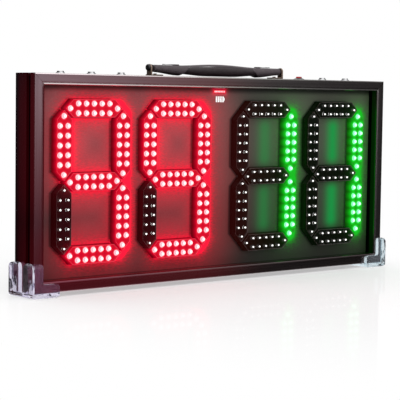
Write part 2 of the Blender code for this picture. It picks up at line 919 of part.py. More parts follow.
def mirrored(values):
    return [(-x, scale) for x, scale in reversed(values) if x > 0] + list(values)


# Side view of the grip's space under the spine, with slanting ends
def grip_space(margin):
    rise_end = handle_top(grip_top_inner) - spine_thick
    slope = (cap_inner - grip_top_inner) / (rise_end + cap_under_inner)
    low_x = grip_top_inner + (rise_end - grip_low) * slope
    points = [(-low_x - margin, grip_low), (low_x + margin, grip_low)]
    steps = 8
    for step in range(steps + 1):
        share = 1 - 2 * step / steps
        x = (grip_top_inner + margin) * share
        points.append((x, handle_top(grip_top_inner * share) - spine_thick + margin))
    return points


def build_handle():
    round_start = handle_half - handle_end_round
    body_half = [(grip_top_inner * step / 3, 1) for step in range(4)]
    body_half += [(cap_inner + (round_start - cap_inner) * step / 3, 1) for step in range(4)]
    body_half += [(handle_half - handle_end_round / 4, 0.9), (handle_half, 0.72)]
    place = (0, pivot_y, pivot_z)
    mesh = bar_mesh("handle_body", mirrored(body_half), handle_top, cap_bottom, handle_depth)
    body = add_object("handle_body", mesh, handle_plastic, place)
    cutter_depth = 4 * handle_depth_half
    cut(body, placed(outline_mesh("grip_room", grip_space(gap), cutter_depth, 0), place), label="grip_room")

    bores = bmesh.new()
    for side in (-1, 1):
        start = (side * (handle_half + pin_radius), 0, 0)
        end = (side * (handle_half - pin_reach - pin_radius / 2), 0, 0)
        add_round(bores, start, end, pin_radius + running_clearance + bore_clearance, segments=10)
    cut(body, placed(finish_mesh(bores, "pin_bores"), place), label="pin_bores")

    studs = bmesh.new()
    for side in (-1, 1):
        add_box(studs, (side * stud_x, 0, handle_top_end + stud_rise), stud_size)
    cut(body, placed(finish_mesh(studs, "studs"), place), "UNION", "studs")

    for side, label in ((-1, "left"), (1, "right")):
        name = f"handle_plate_{label}"
        centre = (side * plate_x, 0, handle_top_end + gap + plate_lift + plate_size[2] / 2)
        mesh = box_mesh(name, [(centre, plate_size)])
        add_object(name, mesh, polished_steel, place)

    grip_reach = 2 * cap_inner - grip_top_inner
    grip_half = [(grip_reach * step / 5, 1) for step in range(6)]
    mesh = bar_mesh("handle_grip", mirrored(grip_half), handle_top, grip_bottom, handle_depth, grip_inset)
    grip = add_object("handle_grip", mesh, grip_rubber, place)
    block = placed(outline_mesh("grip_block", grip_space(0), cutter_depth, 0), place)
    cut(grip, block, "INTERSECT", "grip_block")

    build_pivots()
    build_brackets()


def placed(mesh, place):
    mesh.transform(Matrix.Translation(place))
    return mesh


def build_pivots():
    bush_bore = pin_radius + gap
    for side, name, head in ((-1, "left", pin_head), (1, "right", pin_rivet)):
        head_radius, head_length, head_round = head
        turn = (0, math.radians(90 * side), 0)
        head_start = lug_outer + gap
        head_end = head_start + head_length
        profile = (
            (0, head_end),
            (head_radius - head_round, head_end),
            (head_radius, head_end - head_round),
            (head_radius, head_start),
            (pin_radius, head_start),
            (pin_radius, handle_half - pin_reach),
            (0, handle_half - pin_reach),
        )
        turned(f"handle_pin_{name}", profile, black_steel, (0, pivot_y, pivot_z), 10, turn)

        ribs = 3
        start = handle_half + gap
        end = start + bush_length
        step = bush_length / (2 * ribs - 1)
        outline = []
        for index in range(ribs):
            rib_end = end - 2 * index * step
            outline += [(bush_radius, rib_end), (bush_radius, rib_end - step)]
            if index < ribs - 1:
                groove = bush_radius - bush_groove
                outline += [(groove, rib_end - step), (groove, rib_end - 2 * step)]
        outline += [(bush_bore, start), (bush_bore, end)]
        turned(f"handle_bush_{name}", outline, bush_black, (0, pivot_y, pivot_z), 10, turn)


# Bracket: one bent strip, an upright lug round the pin and a foot under the handle's end
def build_brackets():
    for side, name in ((-1, "left"), (1, "right")):
        lug_outline = [(-lug_width / 2, gap - pivot_height), (-lug_width / 2, 0)]
        lug_outline += [(-y, z) for y, z in arc_points(0, 0, lug_width / 2, 0, 180, 8)][1:-1]
        lug_outline += [(lug_width / 2, 0), (lug_width / 2, gap - pivot_height)]
        bm = bmesh.new()
        face = bm.faces.new([bm.verts.new((side * lug_inner, y, z)) for y, z in lug_outline])
        grown = bmesh.ops.extrude_face_region(bm, geom=[face])["geom"]
        moved = [item for item in grown if isinstance(item, bmesh.types.BMVert)]
        bmesh.ops.translate(bm, vec=(side * lug_thick, 0, 0), verts=moved)
        place = (0, pivot_y, pivot_z)
        bracket = add_object(f"handle_bracket_{name}", finish_mesh(bm, "bracket"), bracket_steel, place)

        foot_x = side * (lug_outer - (foot_reach + lug_thick) / 2)
        foot_z = gap - pivot_height + foot_thick / 2
        size = (foot_reach + lug_thick, foot_width, foot_thick)
        foot = box_mesh("foot", [((foot_x, foot_y - pivot_y, foot_z), size)])
        cut(bracket, placed(foot, place), "UNION", "foot")

        holes = bmesh.new()
        start = (side * (lug_outer + lug_thick), 0, 0)
        end = (side * (lug_inner - lug_thick), 0, 0)
        add_round(holes, start, end, pin_radius + gap, segments=10)
        screw_place = (side * foot_screw_x, foot_screw_y - pivot_y)
        add_round(
            holes,
            (*screw_place, foot_z + foot_thick),
            (*screw_place, foot_z - foot_thick),
            foot_screw_radius + gap,
            segments=8,
        )
        cut(bracket, placed(finish_mesh(holes, "holes"), place), label="holes")

        screw = bmesh.new()
        add_screw(screw, foot_screw_length, foot_screw_radius, *foot_screw_head)
        seat = (side * foot_screw_x, foot_screw_y, top_z + gap + foot_thick + gap)
        screw_name = f"bracket_screw_{name}"
        add_object(screw_name, finish_mesh(screw, screw_name), black_steel, seat)


# Clear corner shoes at the two lower corners: an L of plastic folded round the frame's corner

def shoe_outline():
    outer = -shoe_wall - gap
    turn = shoe_end_round
    points = []
    points += arc_points(shoe_lip_side - turn, shoe_arm_up - turn, turn, 0, 90, 3)
    points += arc_points(outer + turn, shoe_arm_up - turn, turn, 90, 180, 3)
    points += arc_points(outer + turn, outer + turn, turn, 180, 270, 3)
    points += arc_points(shoe_arm_along - turn, outer + turn, turn, 270, 360, 3)
    points += arc_points(shoe_arm_along - turn, shoe_lip_low - turn, turn, 0, 90, 3)
    points.append((shoe_lip_side + shoe_inner_round, shoe_lip_low))
    points.append((shoe_lip_side, shoe_lip_low + shoe_inner_round))
    return points


# Side view of a shoe in depth and height: two rounded lobes that the bottom plate joins.
# It runs past the outline's top and bottom, so that only one of the two shapes makes each face.
def shoe_side_outline():
    past = 1 * mm
    low = -shoe_wall - gap
    start = front_y - shoe_wall - gap
    slot_start = front_y + shoe_slot_depth
    slot_end = slot_start + shoe_slot
    end = back_y + shoe_wall + gap
    top = shoe_arm_up + shoe_lobe_rise
    turn = shoe_lobe_round
    points = [
        (start + shoe_foot_chamfer + past, low - past),
        (end - shoe_foot_chamfer - past, low - past),
        (end, low + shoe_foot_chamfer),
    ]
    points += arc_points(end - turn, top - turn, turn, 0, 90, 3)
    points += arc_points(slot_end + turn, top - turn, turn, 90, 180, 3)
    points += [(slot_end, shoe_slot_rise), (slot_start, shoe_slot_rise)]
    points += arc_points(slot_start - turn, top - turn, turn, 0, 90, 3)
    points += arc_points(start + turn, top - turn, turn, 90, 180, 3)
    return points + [(start, low + shoe_foot_chamfer)]


def build_shoes():
    reach = 3 * shoe_arm_up  # longer than any shoe
    for side, name in ((-1, "left"), (1, "right")):
        outline = [(-side * x, z) for x, z in shoe_outline()]
        mesh = outline_mesh(f"corner_shoe_{name}", outline, case_depth + 4 * shoe_wall, 0)
        place = (side * board_width / 2, 0, bottom_z)
        shoe = add_object(f"corner_shoe_{name}", mesh, clear_plastic, place)

        lobes = outline_mesh("lobes", shoe_side_outline(), reach, 0)
        lobes.transform(Matrix.Rotation(math.radians(90), 4, "Z"))
        cut(shoe, placed(lobes, place), "INTERSECT", "lobes")

        cavity_size = (reach, case_depth + 2 * gap, reach)
        cavity_centre = (-side * (reach / 2 - gap), 0, reach / 2 - gap)
        cut(shoe, placed(box_mesh("cavity", [(cavity_centre, cavity_size)]), place), label="cavity")


build_case()
build_corner_keys()
build_panel()
build_back()
build_digits()
build_control_board()
build_battery()
build_socket()
build_controls()
build_handle()
build_shoes()
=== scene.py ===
import math

import bmesh
import bpy
from mathutils import Matrix, Vector


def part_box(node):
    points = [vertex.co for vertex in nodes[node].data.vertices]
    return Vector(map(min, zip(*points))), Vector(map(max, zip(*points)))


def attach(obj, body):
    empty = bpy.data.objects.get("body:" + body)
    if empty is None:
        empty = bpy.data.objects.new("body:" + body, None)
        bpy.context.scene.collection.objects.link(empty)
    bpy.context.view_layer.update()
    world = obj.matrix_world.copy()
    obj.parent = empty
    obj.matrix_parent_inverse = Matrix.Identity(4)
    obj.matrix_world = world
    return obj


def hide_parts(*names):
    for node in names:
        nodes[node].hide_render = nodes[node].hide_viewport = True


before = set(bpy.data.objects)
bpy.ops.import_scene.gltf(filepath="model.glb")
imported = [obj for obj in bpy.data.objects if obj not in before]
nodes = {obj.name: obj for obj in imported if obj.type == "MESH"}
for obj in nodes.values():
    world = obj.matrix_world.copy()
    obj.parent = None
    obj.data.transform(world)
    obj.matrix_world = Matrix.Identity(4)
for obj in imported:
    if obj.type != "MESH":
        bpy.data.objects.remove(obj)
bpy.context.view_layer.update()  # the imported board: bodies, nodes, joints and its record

mm = 0.001
boardBody = "board_body"
handleBody = "handle"

# The case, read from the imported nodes
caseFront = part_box("frame_rail_top")[0].y
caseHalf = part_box("frame_rail_top")[1].x
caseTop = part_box("frame_rail_top")[1].z
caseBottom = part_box("frame_rail_bottom")[0].z
middleZ = (caseTop + caseBottom) / 2
panelFront, panelBack = (corner.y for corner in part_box("display_panel"))


# Node helpers

def setInputs(tree, node, values):
    for key, value in values.items():
        if isinstance(value, bpy.types.NodeSocket):
            tree.links.new(value, node.inputs[key])
        else:
            node.inputs[key].default_value = value


def addNode(tree, kind, inputs, **settings):
    node = tree.nodes.new(kind)
    for key, value in settings.items():
        setattr(node, key, value)
    setInputs(tree, node, inputs)
    return node


def newMaterial(name):
    material = bpy.data.materials.new(name)
    material.use_nodes = True
    return material, material.node_tree, material.node_tree.nodes["Principled BSDF"]


def mathNode(tree, operation, *values):
    return addNode(tree, "ShaderNodeMath", dict(enumerate(values)), operation=operation).outputs[0]


def vectorNode(tree, operation, *values):
    node = addNode(tree, "ShaderNodeVectorMath", dict(enumerate(values)), operation=operation)
    return node.outputs["Value" if operation in ("LENGTH", "DOT_PRODUCT") else "Vector"]


# One operation run through any number of values
def runThrough(operation):
    def result(tree, first, *others):
        for other in others:
            first = mathNode(tree, operation, first, other)
        return first
    return result


added, minus, product = runThrough("ADD"), runThrough("SUBTRACT"), runThrough("MULTIPLY")
lowest, highest = runThrough("MINIMUM"), runThrough("MAXIMUM")


def absolute(tree, value):
    return mathNode(tree, "ABSOLUTE", value)


# What is left of 1 when a share of the value is taken away
def without(tree, value, share=1.0):
    return mathNode(tree, "MULTIPLY_ADD", value, -share, 1.0)


def scaled(tree, vector, factor):
    node = addNode(tree, "ShaderNodeVectorMath", {0: vector, "Scale": factor}, operation="SCALE")
    return node.outputs["Vector"]


def objectPoint(tree):
    return tree.nodes.new("ShaderNodeTexCoord").outputs["Object"]


def partsOf(tree, vector):
    return addNode(tree, "ShaderNodeSeparateXYZ", {"Vector": vector}).outputs


def spotOn(tree):
    return partsOf(tree, objectPoint(tree))


def uvSpot(tree):
    return partsOf(tree, tree.nodes.new("ShaderNodeUVMap").outputs["UV"])


def ramp(tree, value, stops):
    node = addNode(tree, "ShaderNodeValToRGB", {"Fac": value})
    elements = node.color_ramp.elements
    while len(elements) < len(stops):
        elements.new(0.5)
    for element, (place, colour) in zip(elements, stops):
        element.position = place
        element.color = (*colour, 1.0)
    return node.outputs["Color"]


def twoTone(tree, texture, dark, light):
    return ramp(tree, texture, ((0.3, dark), (0.7, light)))


# One colour where the share is 0 and another where it is 1
def mixedColour(tree, share, first, second):
    pair = [tone if isinstance(tone, bpy.types.NodeSocket) else (*tone, 1) for tone in (first, second)]
    inputs = {"Factor": share, "A": pair[0], "B": pair[1]}
    return addNode(tree, "ShaderNodeMix", inputs, data_type="RGBA").outputs["Result"]


def mapped(tree, value, start, end, first, last, **settings):
    inputs = {"Value": value, "From Min": start, "From Max": end, "To Min": first, "To Max": last}
    return addNode(tree, "ShaderNodeMapRange", inputs, **settings).outputs[0]


# A value that runs softly from one level to another between two places
def faded(tree, value, start, end, first=0.0, last=1.0):
    return mapped(tree, value, start, end, first, last, interpolation_type="SMOOTHSTEP")


# 0 before a place and 1 past it, or the other way round with a width below zero
def past(tree, value, place, soft=0.2 * mm):
    return faded(tree, value, place - soft, place + soft)


# Two ways in which light falls off with distance: steep at once, or level at first
def fading(tree, distance, reach):
    return mathNode(tree, "EXPONENT", mathNode(tree, "DIVIDE", distance, -reach))


def bell(tree, distance, reach):
    share = mathNode(tree, "DIVIDE", distance, reach)
    return mathNode(tree, "EXPONENT", product(tree, share, share, -1.0))


def grain(tree, size, stretch=(1, 1, 1), detail=3.0):
    mapping = addNode(tree, "ShaderNodeMapping", {"Vector": objectPoint(tree), "Scale": stretch})
    inputs = {"Vector": mapping.outputs[0], "Scale": 1 / size, "Detail": detail, "Roughness": 0.55}
    return addNode(tree, "ShaderNodeTexNoise", inputs).outputs["Fac"]


def bumped(tree, height, strength, relief, **more):
    inputs = {"Height": height, "Strength": strength, "Distance": relief, **more}
    return addNode(tree, "ShaderNodeBump", inputs).outputs[0]


# Light of the lit strokes, as distances over the board's face

digit = {
    "centres": [sum(corner.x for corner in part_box(f"digit_module_{n}")) / 2 for n in range(1, 5)],
    "lit": ("abcdfg", "abcdfg", "bc", "bc"),
    "pitch": 45 * mm,
    "width": 23.3 * mm,
    "tip": 43.9 * mm,
    "draft": 0.75 * mm,
    "rim": 1.3 * mm,
    "rimRound": 0.3 * mm,
    "sink": 1.5 * mm,
    "faceDepth": 5.2 * mm,
    "lampPitch": 11.86 * mm,
    "lampTip": 35.7 * mm,
    "lampRadius": 2.5 * mm,
    "lampDepth": 2.6 * mm,
    "cupRise": 1.8 * mm,
    "glinting": "aef",  # the dark strokes whose lamps get a painted glint at one side
}
strokePlaces = {  # across and up in pitches, and whether the stroke is upright
    "a": (0, 2, False),
    "b": (1, 1, True),
    "c": (1, -1, True),
    "d": (0, -2, False),
    "e": (-1, -1, True),
    "f": (-1, 1, True),
    "g": (0, 0, False),
}
strokeLight = {
    "red": (0.93, 0.002, 0.03),
    "green": (0.0, 0.5, 0.008),
    "start": 10.2 * mm,  # out from a stroke's middle line
    "blend": 12 * mm,
    "spike": 1.4 * mm,
    "lean": 0.86,  # how far the photo's line of sight moves right for each step back
}


def strokeCentre(centreX, letter):
    across, up, upright = strokePlaces[letter]
    return centreX + across * digit["pitch"], middleZ + up * digit["pitch"], upright


def strokeDistance(tree, point, centreX, centreZ, halfX, halfZ, depth=0.0):
    away = vectorNode(tree, "ABSOLUTE", vectorNode(tree, "SUBTRACT", point, (centreX, depth, centreZ)))
    away = vectorNode(tree, "SUBTRACT", away, (halfX, 1.0, halfZ))
    return vectorNode(tree, "LENGTH", vectorNode(tree, "MAXIMUM", away, (0, 0, 0)))


def makeStrokeField():
    tree = bpy.data.node_groups.new("strokeField", "ShaderNodeTree")
    for name in ("red", "green"):
        tree.interface.new_socket(name, in_out="OUTPUT", socket_type="NodeSocketFloat")
    output = tree.nodes.new("NodeGroupOutput")
    # The glow leans towards the right, so that it stands round the strokes from the photo's side
    spot = spotOn(tree)
    depth = minus(tree, spot["Y"], caseFront + digit["faceDepth"])
    across = mathNode(tree, "MULTIPLY_ADD", depth, -strokeLight["lean"], spot["X"])
    flat = addNode(tree, "ShaderNodeCombineXYZ", {"X": across, "Z": spot["Z"]}).outputs[0]
    for name, digits in (("red", (0, 1)), ("green", (2, 3))):
        nearest = None
        for number in digits:
            for letter in digit["lit"][number]:
                x, z, upright = strokeCentre(digit["centres"][number], letter)
                sizes = (0, digit["lampTip"]) if upright else (digit["lampTip"], 0)
                distance = strokeDistance(tree, flat, x, z, *sizes)
                if nearest is None:
                    nearest = distance
                else:
                    nearest = mathNode(tree, "SMOOTH_MIN", nearest, distance, strokeLight["blend"])
        tree.links.new(nearest, output.inputs[name])
    return tree


strokeField = makeStrokeField()


# Emission on a surface near the lit strokes: a close spiky halo and a wide wash in each colour
def strokeGlow(tree, halo, haloReach, wash, washReach, greenWash=1.0):
    field = addNode(tree, "ShaderNodeGroup", {}, node_tree=strokeField)
    texture = grain(tree, strokeLight["spike"], (0.3, 1, 1), detail=1.0)
    spikes = highest(tree, mathNode(tree, "MULTIPLY_ADD", texture, 2.4, -0.2), 0.05)
    glows, closeness = [], []
    for name, share in (("red", 1.0), ("green", greenWash)):
        beyond = highest(tree, minus(tree, field.outputs[name], strokeLight["start"]), 0.0)
        near = fading(tree, mathNode(tree, "DIVIDE", beyond, spikes), haloReach)
        far = product(tree, bell(tree, beyond, washReach), wash, share)
        level = mathNode(tree, "MULTIPLY_ADD", near, halo, far)
        glows.append(scaled(tree, strokeLight[name], level))
        closeness.append(near)
    return vectorNode(tree, "ADD", *glows), highest(tree, *closeness)


rail = {
    "edge": 1.4 * mm,
    "beadStart": 11 * mm,
    "lipInner": 14.3 * mm,
    "grooveStart": 9.3 * mm,
    "grooveEnd": 17.5 * mm,
    # colour of the painted highlight on the bead and the outer top edge
    "bright": (0.86, 0.78, 0.8),
    "highlightAtRight": 0.25,
    # painted shade in the side groove and on the lip's inner wall
    "grooveShade": 0.97,
    "insideShade": 0.75,
    "insideGreenGlow": 0.35,
    # tints of painted shade and light on the rails, by place
    "lightAndShadeTints": {
        "right": (0.74, 0.82, 0.74),
        "lowLeft": (0.72, 0.36, 0.44),
        "side": (0.55, 0.35, 0.42),
        "topFace": (0.2, 0.22, 0.21),
        "bottomRail": (0.8, 0.72, 0.72),
    },
}


# Rails: painted shade in the side groove and inside the lip, and a painted highlight on the rounded bead
# and outer edge
def railSurface(tree, colour, normal, glow):
    spot = spotOn(tree)
    depth = minus(tree, spot["Y"], caseFront)
    fromSide = minus(tree, caseHalf, absolute(tree, spot["X"]))
    fromTop = minus(tree, caseTop - middleZ, absolute(tree, minus(tree, spot["Z"], middleZ)))
    inset = lowest(tree, fromSide, fromTop)
    soft = 0.2 * mm
    groove = past(tree, depth, rail["grooveStart"])
    groove = product(tree, groove, past(tree, depth, rail["grooveEnd"], -soft))
    # Painted highlight on the bead's top and along the outer top edge, dimmer towards the right
    atFront = past(tree, depth, rail["edge"], -soft)
    inBead = past(tree, inset, rail["beadStart"])
    onTop = faded(tree, spot["Z"], caseTop - 1.2 * rail["lipInner"], caseTop - rail["lipInner"])
    atTopEdge = past(tree, spot["Z"], caseTop - rail["edge"])
    highlightFade = faded(tree, spot["X"], -0.1, 0.2, 1.0, rail["highlightAtRight"])
    highlightShare = product(tree, atFront, highlightFade, highest(tree, product(tree, inBead, onTop), atTopEdge))
    bright = mixedColour(tree, highlightShare, colour, rail["bright"])
    pastBead = highest(tree, minus(tree, inset, rail["beadStart"]), 0.0)
    fall = product(tree, pastBead, pastBead, -0.5 / (rail["lipInner"] - rail["beadStart"]))
    inside = product(
        tree,
        faded(tree, depth, rail["edge"], rail["edge"] + 2 * soft),
        faded(tree, inset, rail["beadStart"], rail["lipInner"] - soft),
    )
    # Painted shade in the side groove and on the lip's inner wall
    shades = product(tree, groove, rail["grooveShade"]), product(tree, inside, rail["insideShade"])
    topFace = faded(tree, spot["Z"], caseTop - 0.4 * mm, caseTop - 0.1 * mm)
    unlit = highest(tree, groove, topFace, faded(tree, depth, 0.03, 0.04))
    # Painted glow of the lit strokes on the rails, green on the lip's inner wall
    emission = strokeGlow(tree, **glow, greenWash=product(tree, inside, rail["insideGreenGlow"]))[0]
    colour = scaled(tree, bright, without(tree, highest(tree, *shades)))
    colour = railPaintedShade(tree, colour, spot, depth, topFace)
    return colour, bumped(tree, fall, 1.0, 1.0, Normal=normal), scaled(tree, emission, without(tree, unlit))


# Painted shade and painted red light on the rails: redder low down at the left, and darker and less violet
# at the right, low down, on top and behind
def railPaintedShade(tree, colour, spot, depth, topFace):
    atLeft = faded(tree, spot["X"], 0.08, -0.28)
    backward = faded(tree, depth, rail["edge"], rail["edge"] + 0.6 * mm)
    shares = {
        "right": without(tree, atLeft),
        "lowLeft": product(tree, faded(tree, spot["Z"], caseTop, caseBottom), atLeft),
        "side": product(tree, backward, without(tree, topFace)),
        "topFace": topFace,
        "bottomRail": faded(tree, spot["Z"], caseBottom + 16 * mm, caseBottom + 13 * mm),
    }
    for place, share in shares.items():
        tint = mixedColour(tree, share, (1, 1, 1), rail["lightAndShadeTints"][place])
        colour = vectorNode(tree, "MULTIPLY", colour, tint)
    return colour


panelLight = {
    # painted reflection of the housings, painted shadow under the lip, painted shade low down and painted
    # glow
    "mirrorShift": 3 * mm,
    "mirrorOuter": 2.5 * mm,  # out from a housing's edge
    "mirrorInner": 1.5 * mm,  # and in from it
    "mirrorShade": 0.75,
    "lipShade": 0.8,
    "lipShadow": 9 * mm,
    "shadeBottomAndTop": (0.6, 1.9),
    "washBottomAndTop": (1.4, 0.62),
    "warm": (0.041, 0.044, 0.032),
    # the painted green glow bands inside the green digits
    "bandStrengths": (0.5, 1.0),
    "bandEnds": (20 * mm, 38 * mm),
    "bandShift": 4 * mm,
    "bandWidth": 12 * mm,
    "band": (0.0, 0.25, 0.045),
    "levelGlow": (0.6, 0.0, 0.03),
    "levelReach": 2.6 * mm,
}


# Distance out from the middle line of the nearest digit's eight, below zero inside its two holes
def eightDistance(tree, across, up):
    fromCentre = lowest(tree, *[absolute(tree, minus(tree, across, x)) for x in digit["centres"]])
    cut = minus(tree, added(tree, fromCentre, up), digit["tip"] - digit["width"] / 2)
    return minus(tree, highest(tree, fromCentre, up, cut), digit["pitch"])


# The panel, with painted light and shade: a painted reflection of the dark housings to their left, a
# painted shadow under the frame's lip at the top, and a painted green glow in a soft upright band inside
# each green digit
def panelSurface(tree, colour, glow, near):
    spot = spotOn(tree)
    height = absolute(tree, minus(tree, spot["Z"], middleZ))
    up = absolute(tree, minus(tree, height, digit["pitch"]))
    # Painted reflection: the panel darkens where the dark housings would be mirrored to their left
    signed = eightDistance(tree, added(tree, spot["X"], panelLight["mirrorShift"]), up)
    half = digit["width"] / 2
    mirrorEnds = half + panelLight["mirrorOuter"], half - panelLight["mirrorInner"]
    mirror = without(tree, faded(tree, absolute(tree, signed), *mirrorEnds), panelLight["mirrorShade"])
    # Painted shadow under the frame's lip at the top
    lipEdge = caseTop - rail["lipInner"]
    underLip = faded(tree, spot["Z"], lipEdge - panelLight["lipShadow"], lipEdge - 1 * mm)
    # Painted shade: darker low down, brighter high up
    upward = faded(tree, spot["Z"], caseBottom, caseTop, *panelLight["shadeBottomAndTop"])
    shade = product(tree, mirror, without(tree, underLip, panelLight["lipShade"]), upward)
    # Painted light: the panel's colour is warmer towards the right, as under warmer light
    colour = mixedColour(tree, faded(tree, spot["X"], -0.05, 0.12), colour, panelLight["warm"])
    # Painted green glow: a soft upright band inside each green digit, as light thrown back by the panel
    bands = []
    for centreX, strength in zip(digit["centres"][2:], panelLight["bandStrengths"]):
        beside = minus(tree, spot["X"], centreX + panelLight["bandShift"])
        bands.append(product(tree, bell(tree, beside, panelLight["bandWidth"]), strength))
    band = product(tree, added(tree, *bands), faded(tree, up, *panelLight["bandEnds"], 1.0, 0.0))
    # Painted shade: the base darkens close to the lit strokes and under the green glow bands
    colour = scaled(tree, colour, product(tree, shade, without(tree, near, 0.95), without(tree, band, 0.9)))
    # Further from the strokes their light is stronger inside a digit and low down
    insideDigit = faded(tree, signed, 6 * mm, -6 * mm, 0.5, 1.0)
    lessUp = faded(tree, spot["Z"], caseBottom, caseTop, *panelLight["washBottomAndTop"])
    further = product(tree, shade, insideDigit, lessUp, without(tree, near))
    glow = scaled(tree, glow, added(tree, further, near))
    for light in (scaled(tree, panelLight["band"], band), levelGlow(tree)):
        glow = vectorNode(tree, "ADD", glow, light)
    return colour, glow


# Red glow of the level light on the panel round it
def levelGlow(tree):
    low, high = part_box("level_light")
    middle, half = (low + high) / 2, (high - low) / 2
    away = strokeDistance(tree, objectPoint(tree), middle.x, middle.z, half.x, half.z, middle.y)
    return scaled(tree, panelLight["levelGlow"], fading(tree, away, panelLight["levelReach"]))


def depthBehindFace(tree):
    return minus(tree, spotOn(tree)["Y"], caseFront + digit["faceDepth"])


# Painted highlight on an unlit housing's rim, which is made a little paler than the rest
def paintedRimHighlight(tree, colour):
    onRim = faded(tree, depthBehindFace(tree), 0.35 * mm, 0.15 * mm, 0.0, 0.7)
    return mixedColour(tree, onRim, colour, (0.2, 0.13, 0.135))


# A finish made of two grain colours, with its own roughness and bump
def makeFinish(name, look):
    material, tree, shader = newMaterial(name)
    texture = grain(tree, look["grain"], look.get("stretch", (1, 1, 1)), look.get("detail", 3.0))
    colour = twoTone(tree, texture, look["dark"], look["light"])
    if "blotch" in look:
        patch = grain(tree, look["blotch"], detail=2.0)
        colour = scaled(tree, colour, mathNode(tree, "MULTIPLY_ADD", patch, 0.5, 0.75))
    normal = bumped(tree, texture, look["bump"], look["relief"])
    surface = look.get("surface")
    emission = colour if "shine" in look else None
    if surface == "rail":
        colour, normal, emission = railSurface(tree, colour, normal, look["glow"])
    elif "glow" in look:
        emission, near = strokeGlow(tree, **look["glow"])
    if surface == "panel":
        colour, emission = panelSurface(tree, colour, emission, near)
    if surface == "housing":
        colour = paintedRimHighlight(tree, colour)
    setInputs(tree, shader, {
        "Base Color": colour,
        "Roughness": mapped(tree, texture, 0.0, 1.0, *look["roughness"]),
        "Metallic": look.get("metallic", 0.0),
        "Coat Weight": look.get("coat", 0.0),
        "Specular IOR Level": look.get("specular", 0.5),
        "Normal": normal,
    })
    if emission:
        setInputs(tree, shader, {"Emission Color": emission, "Emission Strength": look.get("shine", 1.0)})
    return material


# Frame rails: anodised aluminium with drawn lines along each rail, with painted glow, highlights and shade
railLook = {
    "dark": (0.22, 0.175, 0.195), "light": (0.31, 0.25, 0.28), "grain": 3 * mm, "detail": 4.0,
    "roughness": (0.17, 0.23), "metallic": 1.0, "bump": 0.15, "relief": 0.1 * mm, "surface": "rail",
    "glow": {"halo": 0.0, "haloReach": 8 * mm, "wash": 0.06, "washReach": 60 * mm},
}
railAcross = makeFinish("anodised_rail_across", {**railLook, "stretch": (0.01, 1, 1)})
railUpright = makeFinish("anodised_rail_upright", {**railLook, "stretch": (1, 1, 0.01)})
coverFinish = makeFinish("anodised_cover", {
    "dark": (0.05, 0.046, 0.05), "light": (0.08, 0.075, 0.08), "grain": 3 * mm, "stretch": (0.02, 1, 1),
    "detail": 4.0, "roughness": (0.3, 0.42), "metallic": 0.9, "bump": 0.25, "relief": 0.15 * mm,
})
# The panel sheet, with the painted glow, shade and reflection of panelSurface
panelFinish = makeFinish("display_panel_sheet", {
    "dark": (0.03, 0.026, 0.026), "light": (0.05, 0.043, 0.043), "grain": 1.2 * mm, "blotch": 60 * mm,
    "roughness": (0.45, 0.6), "specular": 0.3, "bump": 0.3, "relief": 0.1 * mm, "surface": "panel",
    "glow": {"halo": 0.95, "haloReach": 4.8 * mm, "wash": 0.38, "washReach": 40 * mm, "greenWash": 0.14},
})
# Dark housings, with a painted glow of the lit strokes and a painted highlight on the rim
darkHousing = makeFinish("dark_stroke_housing", {
    "dark": (0.002, 0.0012, 0.0014), "light": (0.005, 0.003, 0.0035), "grain": 4 * mm,
    "roughness": (0.1, 0.2), "specular": 0.16, "bump": 0.1, "relief": 0.1 * mm, "surface": "housing",
    "glow": {"halo": 0.1, "haloReach": 5 * mm, "wash": 0.026, "washReach": 80 * mm, "greenWash": 0.3},
})
boardFinish = makeFinish("circuit_board", {
    "dark": (0.008, 0.07, 0.03), "light": (0.02, 0.15, 0.06), "grain": 2 * mm,
    "roughness": (0.3, 0.5), "bump": 0.4, "relief": 0.1 * mm,
})
plainAluminium = makeFinish("plain_aluminium", {
    "dark": (0.5, 0.5, 0.51), "light": (0.66, 0.66, 0.67), "grain": 1 * mm, "stretch": (0.1, 1, 1),
    "roughness": (0.3, 0.45), "metallic": 1.0, "bump": 0.15, "relief": 0.05 * mm,
})
polishedSteel = makeFinish("polished_steel", {
    "dark": (0.55, 0.55, 0.56), "light": (0.7, 0.7, 0.71), "grain": 0.8 * mm,
    "roughness": (0.1, 0.18), "metallic": 1.0, "bump": 0.05, "relief": 0.03 * mm,
})
blackSteel = makeFinish("black_steel", {
    "dark": (0.012, 0.012, 0.013), "light": (0.03, 0.03, 0.032), "grain": 1 * mm,
    "roughness": (0.2, 0.35), "metallic": 0.6, "coat": 0.3, "bump": 0.1, "relief": 0.05 * mm,
})
bronzeSteel = makeFinish("bronze_bracket_steel", {
    "dark": (0.22, 0.155, 0.12), "light": (0.42, 0.31, 0.25), "grain": 1.5 * mm, "stretch": (1, 1, 0.15),
    "roughness": (0.3, 0.45), "metallic": 0.9, "bump": 0.2, "relief": 0.1 * mm,
})
capPlastic = makeFinish("stippled_handle_plastic", {
    "dark": (0.03, 0.021, 0.025), "light": (0.1, 0.076, 0.086), "grain": 0.9 * mm, "detail": 1.0,
    "roughness": (0.45, 0.65), "bump": 0.9, "relief": 0.25 * mm,
})
gripRubber = makeFinish("smooth_grip", {
    "dark": (0.022, 0.015, 0.017), "light": (0.042, 0.03, 0.034), "grain": 2.5 * mm,
    "roughness": (0.28, 0.4), "bump": 0.15, "relief": 0.08 * mm,
})
bushPlastic = makeFinish("bush_plastic", {
    "dark": (0.01, 0.006, 0.007), "light": (0.03, 0.018, 0.018), "grain": 1 * mm,
    "roughness": (0.35, 0.5), "bump": 0.2, "relief": 0.05 * mm,
})
bezelPlastic = makeFinish("power_bezel_plastic", {
    "dark": (0.008, 0.008, 0.009), "light": (0.02, 0.02, 0.022), "grain": 1 * mm,
    "roughness": (0.18, 0.3), "coat": 0.5, "bump": 0.1, "relief": 0.05 * mm,
})
